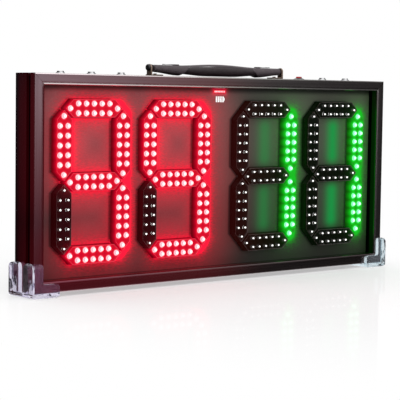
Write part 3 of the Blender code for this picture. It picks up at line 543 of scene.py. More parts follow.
powerPlastic = makeFinish("power_cap_plastic", {
    "dark": (0.36, 0.01, 0.015), "light": (0.6, 0.025, 0.03), "grain": 1.2 * mm,
    "roughness": (0.25, 0.4), "bump": 0.15, "relief": 0.05 * mm,
})
cellSleeve = makeFinish("battery_sleeve", {
    "dark": (0.02, 0.06, 0.24), "light": (0.05, 0.13, 0.4), "grain": 8 * mm, "stretch": (0.2, 1, 1),
    "roughness": (0.25, 0.4), "bump": 0.5, "relief": 0.4 * mm,
})
strapSteel = makeFinish("strap_steel", {
    "dark": (0.38, 0.38, 0.38), "light": (0.55, 0.55, 0.55), "grain": 1.5 * mm, "stretch": (0.1, 1, 1),
    "roughness": (0.28, 0.42), "metallic": 1.0, "bump": 0.15, "relief": 0.06 * mm,
})
print("finishes ready")


# Mesh helpers

def asMesh(bm, name):
    mesh = bpy.data.meshes.new(name)
    bm.to_mesh(mesh)
    bm.free()
    return mesh


def addObject(name, data):
    thing = bpy.data.objects.new(name, data)
    bpy.context.scene.collection.objects.link(thing)
    return thing


def makePiece(bm, name, material, body=boardBody, instead=(), sharp=35):
    bmesh.ops.recalc_face_normals(bm, faces=bm.faces)
    piece = addObject(name, asMesh(bm, name))
    piece.data.materials.append(material)
    for face in piece.data.polygons:
        face.use_smooth = True
    piece.data.set_sharp_from_angle(angle=math.radians(sharp))
    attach(piece, body)
    if instead:
        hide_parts(*instead)
    return piece


def turn(degrees, axis):
    return Matrix.Rotation(math.radians(degrees), 4, axis)


def moved(bm, matrix):
    bmesh.ops.transform(bm, matrix=matrix, verts=bm.verts)
    return bm


def bevelEdges(bm, edges, offset, segments=2):
    bmesh.ops.bevel(
        bm,
        geom=list(edges),
        offset=offset,
        offset_type="OFFSET",
        affect="EDGES",
        segments=segments,
        profile=0.5,
        material=-1,
        clamp_overlap=True,
    )


def addShape(bm, shape):
    mesh = asMesh(shape, "shape")
    bm.from_mesh(mesh)
    bpy.data.meshes.remove(mesh)
    return bm


# A profile of radius and height spun round Z, then turned and placed
def addTurned(bm, profile, place=(0, 0, 0), steps=40, pose=None):
    shape = bmesh.new()
    points = [shape.verts.new((radius, 0, height)) for radius, height in profile]
    for pair in zip(points, points[1:]):
        shape.edges.new(pair)
    if profile[0][0] > 0 and profile[-1][0] > 0:
        shape.edges.new((points[-1], points[0]))
    lines = shape.verts[:] + shape.edges[:]
    spin = {"cent": (0, 0, 0), "axis": (0, 0, 1), "angle": 2 * math.pi, "steps": steps, "use_merge": True}
    bmesh.ops.spin(shape, geom=lines, **spin)
    bmesh.ops.remove_doubles(shape, verts=shape.verts, dist=0.001 * mm)
    bmesh.ops.recalc_face_normals(shape, faces=shape.faces)
    return addShape(bm, moved(shape, Matrix.Translation(place) @ (pose or Matrix.Identity(4))))


def addBlock(bm, low, high, round=0.0, segments=2):
    shape = bmesh.new()
    low, high = Vector(low), Vector(high)
    matrix = Matrix.Translation((low + high) / 2) @ Matrix.Diagonal((*(high - low), 1))
    bmesh.ops.create_cube(shape, size=1, matrix=matrix)
    if round:
        bevelEdges(shape, shape.edges, round, segments)
    return addShape(bm, shape)


# A flat outline pushed along Y into a solid
def addPushed(bm, outline, y, thick):
    face = bm.faces.new([bm.verts.new((x, y, z)) for x, z in outline])
    grown = bmesh.ops.extrude_face_region(bm, geom=[face], use_keep_orig=True)["geom"]
    far = [item for item in grown if isinstance(item, bmesh.types.BMVert)]
    bmesh.ops.translate(bm, vec=(0, thick, 0), verts=far)
    return bm


# The corner radius of a turned profile, as points of a quarter circle
def quarter(centreRadius, centreHeight, radius, steps=4):
    points = []
    for step in range(steps + 1):
        angle = math.radians(90 - 90 * step / steps)
        points.append((centreRadius + radius * math.cos(angle), centreHeight + radius * math.sin(angle)))
    return points


def layUv(shape, rule):
    layer = shape.loops.layers.uv.new("UVMap")
    for face in shape.faces:
        for loop in face.loops:
            loop[layer].uv = rule(loop.vert.co)


def nodeCopy(node):
    bm = bmesh.new()
    bm.from_mesh(nodes[node].data)
    bmesh.ops.remove_doubles(bm, verts=bm.verts, dist=0.005 * mm)
    bmesh.ops.dissolve_limit(bm, angle_limit=math.radians(1), verts=bm.verts, edges=bm.edges)
    return bm


def dress(material, *names):
    for name in names:
        slots = nodes[name].data.materials
        slots.clear()
        slots.append(material)


dress(railAcross, "frame_rail_top", "frame_rail_bottom")
dress(railUpright, "frame_rail_left", "frame_rail_right")
dress(panelFinish, "display_panel")
dress(coverFinish, "back_cover")
dress(boardFinish, "control_board")
dress(cellSleeve, "battery_pack")
dress(strapSteel, "battery_strap")
dress(plainAluminium, *[name for name in nodes if name.startswith("corner_key") or name.endswith("_nut")])


# Digits: stroke housings and their lamps

def housingFinish(name, look):
    material, tree, shader = newMaterial(name)
    spot = uvSpot(tree)  # in millimetres along and across the stroke
    along, across = absolute(tree, spot["X"]), absolute(tree, spot["Y"])
    pitch = digit["lampPitch"] / mm
    row = lowest(tree, mathNode(tree, "ROUND", mathNode(tree, "DIVIDE", along, pitch)), 2.0)
    fromRow = {"X": minus(tree, along, product(tree, row, pitch)), "Y": minus(tree, across, pitch / 2)}
    fromTip = {"X": minus(tree, along, digit["lampTip"] / mm), "Y": across}
    points = [addNode(tree, "ShaderNodeCombineXYZ", parts).outputs[0] for parts in (fromRow, fromTip)]
    distance = lowest(tree, *[vectorNode(tree, "LENGTH", point) for point in points])
    ragged = 1.4  # millimetres between the halo's deepest and furthest points
    distance = minus(tree, distance, ragged / 2)
    distance = mathNode(tree, "MULTIPLY_ADD", grain(tree, 1.2 * mm), ragged, distance)
    colour = ramp(tree, mathNode(tree, "DIVIDE", distance, 10.0), (  # stops in centimetres
        (0.3, look["pale"]),
        (0.37, look["halo"]),
        (0.47, look["glow"]),
        (0.75, tuple(look["falloff"] * part for part in look["glow"])),
    ))
    # The rim has its own colour, and the side walls fade towards the panel
    behind = depthBehindFace(tree)
    colour = mixedColour(tree, mathNode(tree, "LESS_THAN", behind, 0.25 * mm), colour, look["rim"])
    wallDepth = highest(tree, minus(tree, behind, digit["sink"] + 0.1 * mm), 0.0)
    setInputs(tree, shader, {
        "Base Color": (0.01, 0.002, 0.002, 1),
        "Roughness": 0.3,
        "Specular IOR Level": 0.15,
        "Emission Color": scaled(tree, colour, fading(tree, wallDepth, 5.5 * mm)),
        "Emission Strength": 1.0,
    })
    return material


def lampFinish(name, coreColour, edgeColour, strength):
    material, tree, shader = newMaterial(name)
    setInputs(tree, shader, {
        "Base Color": (*edgeColour, 1),
        "Roughness": 0.15,
        "Emission Color": ramp(tree, uvSpot(tree)["Y"], ((0.25, edgeColour), (0.75, coreColour))),
        "Emission Strength": strength,
    })
    return material


def clearLampFinish():
    material, tree, shader = newMaterial("clear_lamp")
    setInputs(tree, shader, {
        "Base Color": twoTone(tree, grain(tree, 1.5 * mm), (0.7, 0.68, 0.68), (0.9, 0.88, 0.88)),
        "Roughness": 0.04,
        "Transmission Weight": 1.0,
        "IOR": 1.5,
    })
    return material


redHousing = housingFinish("red_stroke_housing", {
    "pale": (1.0, 0.8, 0.82),
    "halo": (1.0, 0.1, 0.16),
    "glow": (0.78, 0.0, 0.022),
    "rim": (1.0, 0.1, 0.16),
    "falloff": 0.8,
})
greenHousing = housingFinish("green_stroke_housing", {
    "pale": (0.45, 1.0, 0.6),
    "halo": (0.01, 0.9, 0.14),
    "glow": (0.0, 0.66, 0.012),
    "rim": (0.0, 0.42, 0.02),
    "falloff": 0.5,
})
redLamp = lampFinish("red_lamp", (1.0, 0.86, 0.8), (1.0, 0.2, 0.27), 1.05)
greenLamp = lampFinish("green_lamp", (0.75, 1.0, 0.82), (0.1, 1.0, 0.35), 1.0)
clearLamp = clearLampFinish()
# Pale cups in the unlit lamps, and the glints, glow a little as painted highlights
cupHighlight = makeFinish("cup_highlight", {
    "dark": (0.8, 0.8, 0.78), "light": (0.95, 0.95, 0.93), "grain": 0.6 * mm,
    "roughness": (0.2, 0.3), "bump": 0.1, "relief": 0.05 * mm, "shine": 1.6,
})

circuitFront = panelBack + 2.2 * mm
lampFloor = caseFront + digit["faceDepth"] + digit["sink"]


def strokePoint(stroke, along, across):
    x, z, upright = stroke
    return (x + across, z + along) if upright else (x + along, z + across)


# A drafted hexagonal tray: pulled up from the circuit board, rimmed, and sunk inside the rim
def addHousing(bm, stroke):
    shape = bmesh.new()
    half, tip = digit["width"] / 2, digit["tip"]
    side = tip - half
    corners = ((-tip, 0), (-side, -half), (side, -half), (tip, 0), (side, half), (-side, half))
    base = shape.faces.new([shape.verts.new((along, across, 0)) for along, across in corners])
    height = circuitFront - caseFront - digit["faceDepth"]
    grown = bmesh.ops.extrude_face_region(shape, geom=[base], use_keep_orig=True)["geom"]
    top = [item for item in grown if isinstance(item, bmesh.types.BMFace)][0]
    bmesh.ops.translate(shape, vec=(0, 0, height), verts=top.verts)
    shrink = (1 - digit["draft"] * math.sqrt(2) / tip, 1 - digit["draft"] / half, 1)
    bmesh.ops.scale(shape, vec=shrink, verts=top.verts)
    shape.normal_update()
    bmesh.ops.inset_region(shape, faces=[top], thickness=digit["rim"], use_even_offset=True)
    bmesh.ops.translate(shape, vec=(0, 0, -digit["sink"]), verts=top.verts)
    rimLoops = [edge for edge in shape.edges if isRimLoop(edge, height)]
    bevelEdges(shape, rimLoops, digit["rimRound"])
    bmesh.ops.recalc_face_normals(shape, faces=shape.faces)
    layUv(shape, lambda spot: (spot.x / mm, spot.y / mm))
    x, z, upright = stroke
    stand = turn(-90, "Y") @ turn(90, "X") if upright else turn(90, "X")
    addShape(bm, moved(shape, Matrix.Translation((x, circuitFront, z)) @ stand))


# An edge at the top that runs round the rim, and not across it from one loop to the other
def isRimLoop(edge, height):
    atTop = all(abs(vert.co.z - height) < 0.01 * mm for vert in edge.verts)
    return atTop and edge.calc_length() >= 2.2 * digit["rim"]


def lampOffsets():
    pitch = digit["lampPitch"]
    offsets = [(row * pitch, side * pitch / 2) for row in (-2, -1, 0, 1, 2) for side in (-1, 1)]
    return offsets + [(-digit["lampTip"], 0), (digit["lampTip"], 0)]


def lampMesh(radius, length, steps=10):
    barrelTop = length - radius
    profile = [(radius, -0.3 * mm), (radius, barrelTop)]
    for angle in (math.radians(30), math.radians(60)):
        profile.append((radius * math.cos(angle), barrelTop + radius * math.sin(angle)))
    shape = addTurned(bmesh.new(), profile + [(0, length)], steps=steps)
    layUv(shape, lambda spot: (spot.xy.length / radius, spot.z / length))
    return asMesh(moved(shape, turn(90, "X")), "lamp")


# A painted glint: a thin pale arc that glows at a lamp's left side, where its collar would catch the light
def glintMesh():
    shape = bmesh.new()
    reach, thick, start = 2.85 * mm, 0.08 * mm, math.radians(135)
    points = []
    for radius, height in ((reach - thick, 0), (reach, 1.5 * thick), (reach + thick, 0)):
        points.append(shape.verts.new((radius * math.cos(start), radius * math.sin(start), height)))
    edges = [shape.edges.new(pair) for pair in zip(points, points[1:])]
    spin = {"cent": (0, 0, 0), "axis": (0, 0, 1), "angle": math.radians(90), "steps": 6}
    bmesh.ops.spin(shape, geom=points + edges, **spin)
    return asMesh(moved(shape, turn(90, "X")), "glint")


def addCopies(bm, mesh, places):
    for place in places:
        before = len(bm.verts)
        bm.from_mesh(mesh)
        bm.verts.ensure_lookup_table()
        bmesh.ops.translate(bm, vec=place, verts=bm.verts[before:])
    return bm


lampShape = lampMesh(digit["lampRadius"], lampFloor - caseFront - digit["lampDepth"])
cupShape = lampMesh(0.8 * mm, 1.2 * mm, 8)
glintShape = glintMesh()
standOff = {"inset": 5 * mm, "radius": 2.5 * mm, "clearance": 0.3 * mm}


def makeCircuitBoard(number):
    node = f"digit_module_{number}"
    low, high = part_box(node)
    bm = addBlock(bmesh.new(), (low.x, circuitFront, low.z), high, 0.3 * mm, 1)
    height = circuitFront - panelBack - standOff["clearance"]
    profile = ((0, height), (standOff["radius"], height), (standOff["radius"], 0), (0, 0))
    for x in (low.x + standOff["inset"], high.x - standOff["inset"]):
        for z in (low.z + standOff["inset"], high.z - standOff["inset"]):
            addTurned(bm, profile, (x, circuitFront, z), 16, turn(90, "X"))
    makePiece(bm, f"digit_{number}_circuit_board", boardFinish, instead=[node])


def makeStrokes(number, label, letters, housing, lamp):
    node = f"digit_module_{number}"
    bm = bmesh.new()
    places = []
    cups = []  # each stands on a clear foot inside its lamp and glows as a painted highlight
    glints = []
    for letter in letters:
        stroke = strokeCentre(digit["centres"][number - 1], letter)
        addHousing(bm, stroke)
        for along, across in lampOffsets():
            x, z = strokePoint(stroke, along, across)
            places.append((x, lampFloor, z))
            cups.append((x, lampFloor - digit["cupRise"], z))
            if letter in digit["glinting"] and across and (across > 0) == stroke[2]:
                glints.append(places[-1])
    makePiece(bm, f"digit_{number}_{label}_housings", housing, instead=[node])
    bm = addCopies(bmesh.new(), lampShape, places)
    makePiece(bm, f"digit_{number}_{label}_lamps", lamp, instead=[node], sharp=70)
    if label == "dark":
        # Painted highlights: the glowing cups and glints in the unlit lamps
        bm = addCopies(addCopies(bmesh.new(), cupShape, cups), glintShape, glints)
        makePiece(bm, f"digit_{number}_cup_highlights", cupHighlight, instead=[node], sharp=70)


for number, lit in enumerate(digit["lit"], start=1):
    makeCircuitBoard(number)
    if number < 3:
        makeStrokes(number, "red", lit, redHousing, redLamp)
    else:
        makeStrokes(number, "green", lit, greenHousing, greenLamp)
    unlit = [letter for letter in strokePlaces if letter not in lit]
    makeStrokes(number, "dark", unlit, darkHousing, clearLamp)
    print("digit", number, "made")


# Level light with its cells, and the battery sign under it

def glowFinish(name, colour, strength, size):
    material, tree, shader = newMaterial(name)
    texture = twoTone(tree, grain(tree, size), tuple(0.75 * part for part in colour), colour)
    setInputs(tree, shader, {
        "Base Color": texture,
        "Roughness": 0.3,
        "Emission Color": texture,
        "Emission Strength": strength,
    })
    return material


level = {"cells": 7, "cellWidth": 1.9 * mm, "cellHeight": 2.2 * mm, "proud": 0.35 * mm, "margin": 1 * mm}
sign = {
    "cells": 3,
    "middle": 1.5 * mm,
    "width": 15.4 * mm,
    "height": 7.6 * mm,
    "space": 1.1 * mm,
    "nose": 3.9 * mm,
    "shoulder": 2.2 * mm,
    "neck": 3 * mm,
    "neckDrop": 1.6 * mm,
    "tipDrop": 2.4 * mm,
    "below": 28.9 * mm,
    "thick": 0.15 * mm,
}


def makeLevelLight():
    low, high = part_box("level_light")
    red = glowFinish("level_light_red", (0.8, 0.01, 0.03), 0.75, 4 * mm)
    bm = addBlock(bmesh.new(), low, high, 0.3 * mm)
    makePiece(bm, "level_light_bar", red, instead=["level_light"])
    pale = glowFinish("level_cell_pale", (1.0, 0.5, 0.54), 0.9, 3 * mm)
    bm = bmesh.new()
    pitch = (high.x - low.x - 2 * level["margin"]) / level["cells"]
    half = Vector((level["cellWidth"] / 2, level["proud"], level["cellHeight"] / 2))
    for cell in range(level["cells"]):
        middle = Vector((low.x + level["margin"] + (cell + 0.5) * pitch, low.y, (low.z + high.z) / 2))
        addBlock(bm, middle - half, middle + half, 0.12 * mm, 1)
    makePiece(bm, "level_light_cells", pale)


def makeBatterySign():
    # The white print glows a little: a painted glow that keeps it bright white
    white = glowFinish("sign_white", (0.95, 0.94, 0.93), 0.4, 2 * mm)
    bm = bmesh.new()
    left = sign["middle"] - sign["width"] / 2
    right = sign["middle"] + sign["width"] / 2
    cellWidth = (sign["width"] - sign["nose"]) / sign["cells"] - sign["space"]
    low = caseTop - sign["below"] - sign["height"] / 2
    high = low + sign["height"]
    for cell in range(sign["cells"]):
        x = left + cell * (cellWidth + sign["space"])
        addBlock(bm, (x, panelFront - sign["thick"], low), (x + cellWidth, panelFront, high), 0.05 * mm, 1)
    noseLeft = right - sign["nose"]
    lower = [(noseLeft, 0), (noseLeft + sign["shoulder"], 0)]
    lower += [(noseLeft + sign["neck"], sign["neckDrop"]), (right, sign["tipDrop"])]
    outline = [(x, low + drop) for x, drop in lower] + [(x, high - drop) for x, drop in reversed(lower)]
    addPushed(bm, outline, panelFront, -sign["thick"])
    makePiece(bm, "battery_sign", white)


makeLevelLight()
makeBatterySign()
print("level light and sign made")


# Push buttons: bezel with its barrel, and a domed cap

button = {"bezel": 6 * mm, "height": 1.3 * mm, "cap": 4.5 * mm, "capTop": 3.3 * mm, "shoulder": 0.6 * mm}
power = {"bezel": 7.9 * mm, "height": 1.8 * mm, "cap": 4.1 * mm, "capTop": 3.9 * mm, "shoulder": 2.6 * mm}
barrel = {
    "radius": 4.2 * mm,
    "length": 13 * mm,
    "seat": 0.3 * mm,
    "stem": 2.2 * mm,
    "stemShort": 2 * mm,
    "clearance": 0.08 * mm,
    "pocket": 1.27 * mm,
    "capUnder": 0.05 * mm,
    "capEdge": 0.9 * mm,
}


def makeButton(name, look, bezelFinish, capFinish, bezelSlot, capSlot, body):
    low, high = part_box(f"{name}_cap")
    place = ((low.x + high.x) / 2, (low.y + high.y) / 2, caseTop + barrel["seat"])
    outer, height, cap, top = look["bezel"], look["height"], look["cap"], look["capTop"]
    inner = cap + barrel["clearance"]
    bore = barrel["stem"] + barrel["clearance"]
    round = 0.25 * mm
    profile = [(inner, height - 0.2 * mm), (inner + 0.2 * mm, height)]
    profile += quarter(outer - look["shoulder"] - round, height - round, round, 3)
    profile += [(outer, 0.4 * mm), (outer, 0), (barrel["radius"], 0)]
    profile += [(barrel["radius"], -barrel["length"]), (bore, -barrel["length"])]
    profile += [(bore, height - barrel["pocket"]), (inner, height - barrel["pocket"])]
    bm = addTurned(bmesh.new(), profile, place, 48)
    makePiece(bm, f"{name}_bezel", bezelFinish, instead=[f"{name}_body"])

    edge, under = barrel["capEdge"], height - barrel["capUnder"]
    profile = [(0, top), (cap * 0.4, top - 0.06 * mm)]
    profile += quarter(cap - edge, top - 0.15 * mm - edge, edge, 5)
    profile += [(cap, under), (barrel["stem"], under)]
    profile += [(radius, barrel["stemShort"] - barrel["length"]) for radius in (barrel["stem"], 0)]
    bm = addTurned(bmesh.new(), profile, place, 48)
    makePiece(bm, f"{name}_push_cap", capFinish, body, instead=[f"{name}_cap"])


for number in range(1, 6):
    steel = (polishedSteel, polishedSteel, "polished_steel", "polished_steel")
    makeButton(f"button_{number}", button, *steel, f"key_{number}")
makeButton("power_button", power, bezelPlastic, powerPlastic, "bezel_black", "power_red", "power_key")
print("buttons made")


# Screws with a cross recess

screw = {
    "head": 2.7 * mm,
    "coverHead": 0.9 * mm,
    "bracketHead": 1 * mm,
    "shank": 1.5 * mm,
    "postShank": 1 * mm,
    "recess": 0.5 * mm,
    "crossLength": 2.9 * mm,
    "crossWidth": 0.6 * mm,
}


# Joins or cuts a bmesh with another one and gives back the result
def combined(bm, other, operation):
    base, tool = (addObject(name, asMesh(part, name)) for name, part in (("base", bm), ("tool", other)))
    modifier = base.modifiers.new("join", "BOOLEAN")
    modifier.operation = operation
    modifier.solver = "EXACT"
    modifier.object = tool
    bpy.context.view_layer.update()
    graph = bpy.context.evaluated_depsgraph_get()
    mesh = bpy.data.meshes.new_from_object(base.evaluated_get(graph))
    result = bmesh.new()
    result.from_mesh(mesh)
    used = [mesh, base.data, tool.data]
    for piece in (base, tool):
        bpy.data.objects.remove(piece)
    for mesh in used:
        bpy.data.meshes.remove(mesh)
    return result


def placeScrew(name, place, pose, headHeight, length, instead=()):
    head, shank = screw["head"], screw["shank"]
    profile = [(0, headHeight), (0.55 * head, headHeight), (0.85 * head, 0.8 * headHeight)]
    profile += [(head, 0.35 * headHeight), (head, 0), (shank, 0), (shank, -length), (0, -length)]
    bm = addTurned(bmesh.new(), profile, steps=28)
    depth = min(screw["recess"], 0.7 * headHeight)
    arm = (screw["crossLength"] / 2, screw["crossWidth"] / 2)
    for x, y in (arm, arm[::-1]):
        slit = addBlock(bmesh.new(), (-x, -y, headHeight - depth), (x, y, headHeight + depth))
        bm = combined(bm, slit, "DIFFERENCE")
    bm = moved(bm, Matrix.Translation(place) @ pose)
    makePiece(bm, name, blackSteel, instead=instead)


def makeScrews():
    backward = turn(-90, "X")
    for number in range(1, 7):
        node = f"cover_screw_{number}"
        low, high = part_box(node)
        seat = high.y - screw["coverHead"]
        place = ((low.x + high.x) / 2, seat, (low.z + high.z) / 2)
        placeScrew(f"{node}_head", place, backward, screw["coverHead"], seat - low.y, [node])
    for side in ("left", "right"):
        node = f"bracket_screw_{side}"
        low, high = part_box(node)
        seat = high.z - screw["bracketHead"]
        place = ((low.x + high.x) / 2, (low.y + high.y) / 2, seat)
        placeScrew(f"{node}_head", place, Matrix.Identity(4), screw["bracketHead"], seat - low.z, [node])
    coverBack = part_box("back_cover")[1].y
    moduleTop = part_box("digit_module_1")[1].z
    postRow = (moduleTop + caseTop - rail["lipInner"]) / 2 - middleZ  # between a digit's board and the lip
    places = [(x, coverBack, middleZ + side * postRow) for x in digit["centres"] for side in (-1, 1)]
    for number, place in enumerate(places, start=1):
        placeScrew(f"post_screw_{number}", place, backward, screw["coverHead"], screw["postShank"])


makeScrews()
print("screws made")


# Handle: stippled body with its spine, smooth grip, plates, pins, bushes and brackets

handle = {
    "half": 110.5 * mm,
    "depth": 9 * mm,
    "endDepth": 7.4 * mm,
    "endTaper": 26 * mm,
    "endRound": 3.5 * mm,
    "topEnd": 3.7 * mm,
    "topMiddle": 6.35 * mm,
    "arch": 70 * mm,
    "capUnder": 9.5 * mm,
    "capUnderEnd": 5.7 * mm,
    "capInner": 68 * mm,
    "gripUnder": 9.7 * mm,
    "gripUnderEnd": 7.4 * mm,
    "gripInner": 55.5 * mm,
    "gripLevel": 24 * mm,
    "spine": 3.1 * mm,
    "squareness": 2.2,
    "bore": 2.2 * mm,
    "boreEnd": 97.5 * mm,
    "studPlace": 71.8 * mm,
    "stud": (3.3 * mm, 3 * mm, 1.2 * mm),
}
pivotZ = caseTop + 10.5 * mm


def eased(value, start, end):
    share = min(1.0, max(0.0, (value - start) / (end - start)))
    return share * share * (3 - 2 * share)


def handleTop(x):
    share = max(0.0, 1 - (x / handle["arch"]) ** 2)
    return handle["topEnd"] + (handle["topMiddle"] - handle["topEnd"]) * share * share


def capUnder(x):
    rise = handle["capUnder"] - handle["capUnderEnd"]
    return rise * eased(abs(x), handle["capInner"], handle["half"]) - handle["capUnder"]


def gripUnder(x):
    rise = handle["gripUnder"] - handle["gripUnderEnd"]
    return rise * eased(abs(x), handle["gripLevel"], handle["capInner"]) - handle["gripUnder"]


def handleDepth(x):
    drop = handle["depth"] - handle["endDepth"]
    return handle["depth"] - drop * eased(abs(x), handle["half"] - handle["endTaper"], handle["half"])


# Rings of a softened ellipse along X, bridged into one bar
def barShape(stations, under, shrink, segments=40):
    bm = bmesh.new()
    loops = []
    power = 2 / handle["squareness"]
    for x, share in stations:
        ring = bmesh.ops.create_circle(bm, cap_ends=False, radius=1, segments=segments)["verts"]
        top, bottom = handleTop(x), under(x)
        halfHeight = (top - bottom) / 2 * share - shrink
        halfDepth = handleDepth(x) * share - shrink
        for vert in ring:
            across = math.copysign(abs(vert.co.x) ** power, vert.co.x)
            up = math.copysign(abs(vert.co.y) ** power, vert.co.y)
            vert.co = (x, across * halfDepth, (top + bottom) / 2 + up * halfHeight)
        loops.append({edge for vert in ring for edge in vert.link_edges})
    for first, second in zip(loops, loops[1:]):
        bmesh.ops.bridge_loops(bm, edges=list(first | second))
    for end in (loops[0], loops[-1]):
        bmesh.ops.contextual_create(bm, geom=list(end))
    bmesh.ops.recalc_face_normals(bm, faces=bm.faces)
    return bm


def bothWays(stations):
    return [(-x, share) for x, share in reversed(stations) if x > 0] + stations


# The grip's room under the spine, with slanting ends, as a block across the bar
def gripRoom(margin, reach=20 * mm, low=-16 * mm, steps=16):
    rise = handleTop(handle["gripInner"]) - handle["spine"]
    slope = (handle["capInner"] - handle["gripInner"]) / (rise + handle["capUnder"])
    lowX = handle["gripInner"] + (rise - low) * slope
    points = [(-lowX - margin, low), (lowX + margin, low)]
    for step in range(steps + 1):
        x = handle["gripInner"] * (1 - 2 * step / steps)
        side = 0 if abs(x) < 0.01 * mm else math.copysign(margin, x)
        points.append((x + side, handleTop(x) - handle["spine"] + margin))
    bm = addPushed(bmesh.new(), points, -reach, 2 * reach)
    bmesh.ops.recalc_face_normals(bm, faces=bm.faces)
    return bm


def softenEdges(piece, width, degrees=40):
    modifier = piece.modifiers.new("softEdges", "BEVEL")
    modifier.width = width
    modifier.segments = 2
    modifier.limit_method = "ANGLE"
    modifier.angle_limit = math.radians(degrees)


def makeHandlePiece(bm, name, material, node, round):
    moved(bm, Matrix.Translation((0, 0, pivotZ)))
    softenEdges(makePiece(bm, name, material, handleBody, [node], 40), round)


def makeHandle():
    middle = [(place * mm, 1.0) for place in (0, 8, 16, 24, 32, 40, 48)]
    outward = middle + [(place * mm, 1.0) for place in (55.5, 62, 68, 75, 82, 88, 94, 100, 104)]
    for step in range(5):
        angle = math.radians(90 * step / 4.6)
        x = handle["half"] - handle["endRound"] * (1 - math.sin(angle))
        outward.append((x, 1 - 0.34 * (1 - math.cos(angle))))
    outward.append((handle["half"], 0.62))
    bm = combined(barShape(bothWays(outward), capUnder, 0), gripRoom(0.3 * mm), "DIFFERENCE")
    bores = bmesh.new()
    bore, boreEnd, outside = handle["bore"], handle["boreEnd"], handle["half"] + 1 * mm
    for side in (-1, 1):
        profile = ((0, outside), (bore, outside), (bore, boreEnd), (0, boreEnd))
        addTurned(bores, profile, steps=24, pose=turn(90 * side, "Y"))
    bm = combined(bm, bores, "DIFFERENCE")
    for side in (-1, 1):
        middleOfStud = Vector((side * handle["studPlace"], 0, handle["topEnd"] + 0.1 * mm))
        half = Vector(handle["stud"])
        stud = addBlock(bmesh.new(), middleOfStud - half, middleOfStud + half, 0.4 * mm)
        bm = combined(bm, stud, "UNION")
    makeHandlePiece(bm, "handle_shell", capPlastic, "handle_body", 0.35 * mm)

    inner = middle + [(place * mm, 1.0) for place in (56, 62, 68, 74)]
    bm = combined(barShape(bothWays(inner), gripUnder, 0.2 * mm), gripRoom(0), "INTERSECT")
    makeHandlePiece(bm, "handle_soft_grip", gripRubber, "handle_grip", 0.5 * mm)

    for side in ("left", "right"):
        node = f"handle_plate_{side}"
        bm = addBlock(bmesh.new(), *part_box(node), 0.3 * mm)
        makePiece(bm, f"{node}_strip", polishedSteel, handleBody, [node])


pin = {"radius": 2 * mm, "proud": 0.3 * mm, "roundness": 0.62}
bush = {"radius": 3.9 * mm, "clearance": 0.3 * mm, "ribs": 3, "edge": 0.15 * mm, "groove": 0.7 * mm}


def farAndNear(node):
    return sorted(abs(corner.x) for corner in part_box(node))


def makePivots():
    for side, label in ((-1, "left"), (1, "right")):
        sideways = turn(90 * side, "Y")
        low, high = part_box(f"handle_pin_{label}")
        inner, outer = farAndNear(f"handle_pin_{label}")
        headRadius = (high.z - low.z) / 2
        headStart = farAndNear(f"handle_bracket_{label}")[1] + pin["proud"]
        round = pin["roundness"] * (outer - headStart)
        profile = [(0, outer), (0.4 * headRadius, outer - 0.05 * round)]
        profile += quarter(headRadius - round, outer - 1.12 * round, round, 6)[1:]
        profile += [(headRadius, headStart), (pin["radius"], headStart), (pin["radius"], inner), (0, inner)]
        bm = addTurned(bmesh.new(), profile, (0, 0, pivotZ), 40, sideways)
        makePiece(bm, f"handle_pin_{label}_domed", blackSteel, instead=[f"handle_pin_{label}"])

        start, end = farAndNear(f"handle_bush_{label}")
        step = (end - start) / (2 * bush["ribs"] - 1)
        bore, outside = pin["radius"] + bush["clearance"], bush["radius"]
        profile = [(bore, start), (bore, end)]
        for rib in range(bush["ribs"]):
            ribEnd = end - 2 * rib * step
            profile += [(outside - bush["edge"], ribEnd), (outside, ribEnd - 0.5 * step)]
            profile += [(outside - bush["edge"], ribEnd - step)]
            if rib < bush["ribs"] - 1:
                profile += [(outside - bush["groove"], ribEnd - share * step) for share in (1.1, 1.9)]
        bm = addTurned(bmesh.new(), profile, (0, 0, pivotZ), 32, sideways)
        node = f"handle_bush_{label}"
        makePiece(bm, f"{node}_ribbed", bushPlastic, instead=[node])

        node = f"handle_bracket_{label}"
        piece = makePiece(nodeCopy(node), f"{node}_strip", bronzeSteel, instead=[node])
        softenEdges(piece, 0.25 * mm, 50)


makeHandle()
makePivots()
print("handle made")


# Charging socket in the right rail

socket = {
    "bore": 2.75 * mm,
    "barrel": 4 * mm,
    "flange": 5.6 * mm,
    "seat": 0.3 * mm,
    "round": 0.5 * mm,
    "length": 12 * mm,
    "boreDepth": 10 * mm,
    "tail": 1 * mm,
}


def makeSocket():
    low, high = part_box("charge_socket")
    face = high.x - caseHalf
    bore, flange, round = socket["bore"], socket["flange"], socket["round"]
    profile = [(bore, face - 0.3 * mm), (bore + 0.3 * mm, face)]
    profile += quarter(flange - round, face - round, round)
    profile += [(flange, socket["seat"]), (socket["barrel"], socket["seat"])]
    profile += [(socket["barrel"], -socket["length"]), (socket["tail"], -socket["length"])]
    profile += [(socket["tail"], -socket["boreDepth"]), (bore, -socket["boreDepth"])]
    place = (caseHalf, (low.y + high.y) / 2, (low.z + high.z) / 2)
    bm = addTurned(bmesh.new(), profile, place, 40, turn(90, "Y"))
    makePiece(bm, "charge_socket_ring", blackSteel, instead=["charge_socket"])


makeSocket()
print("socket made")


# Clear corner shoes

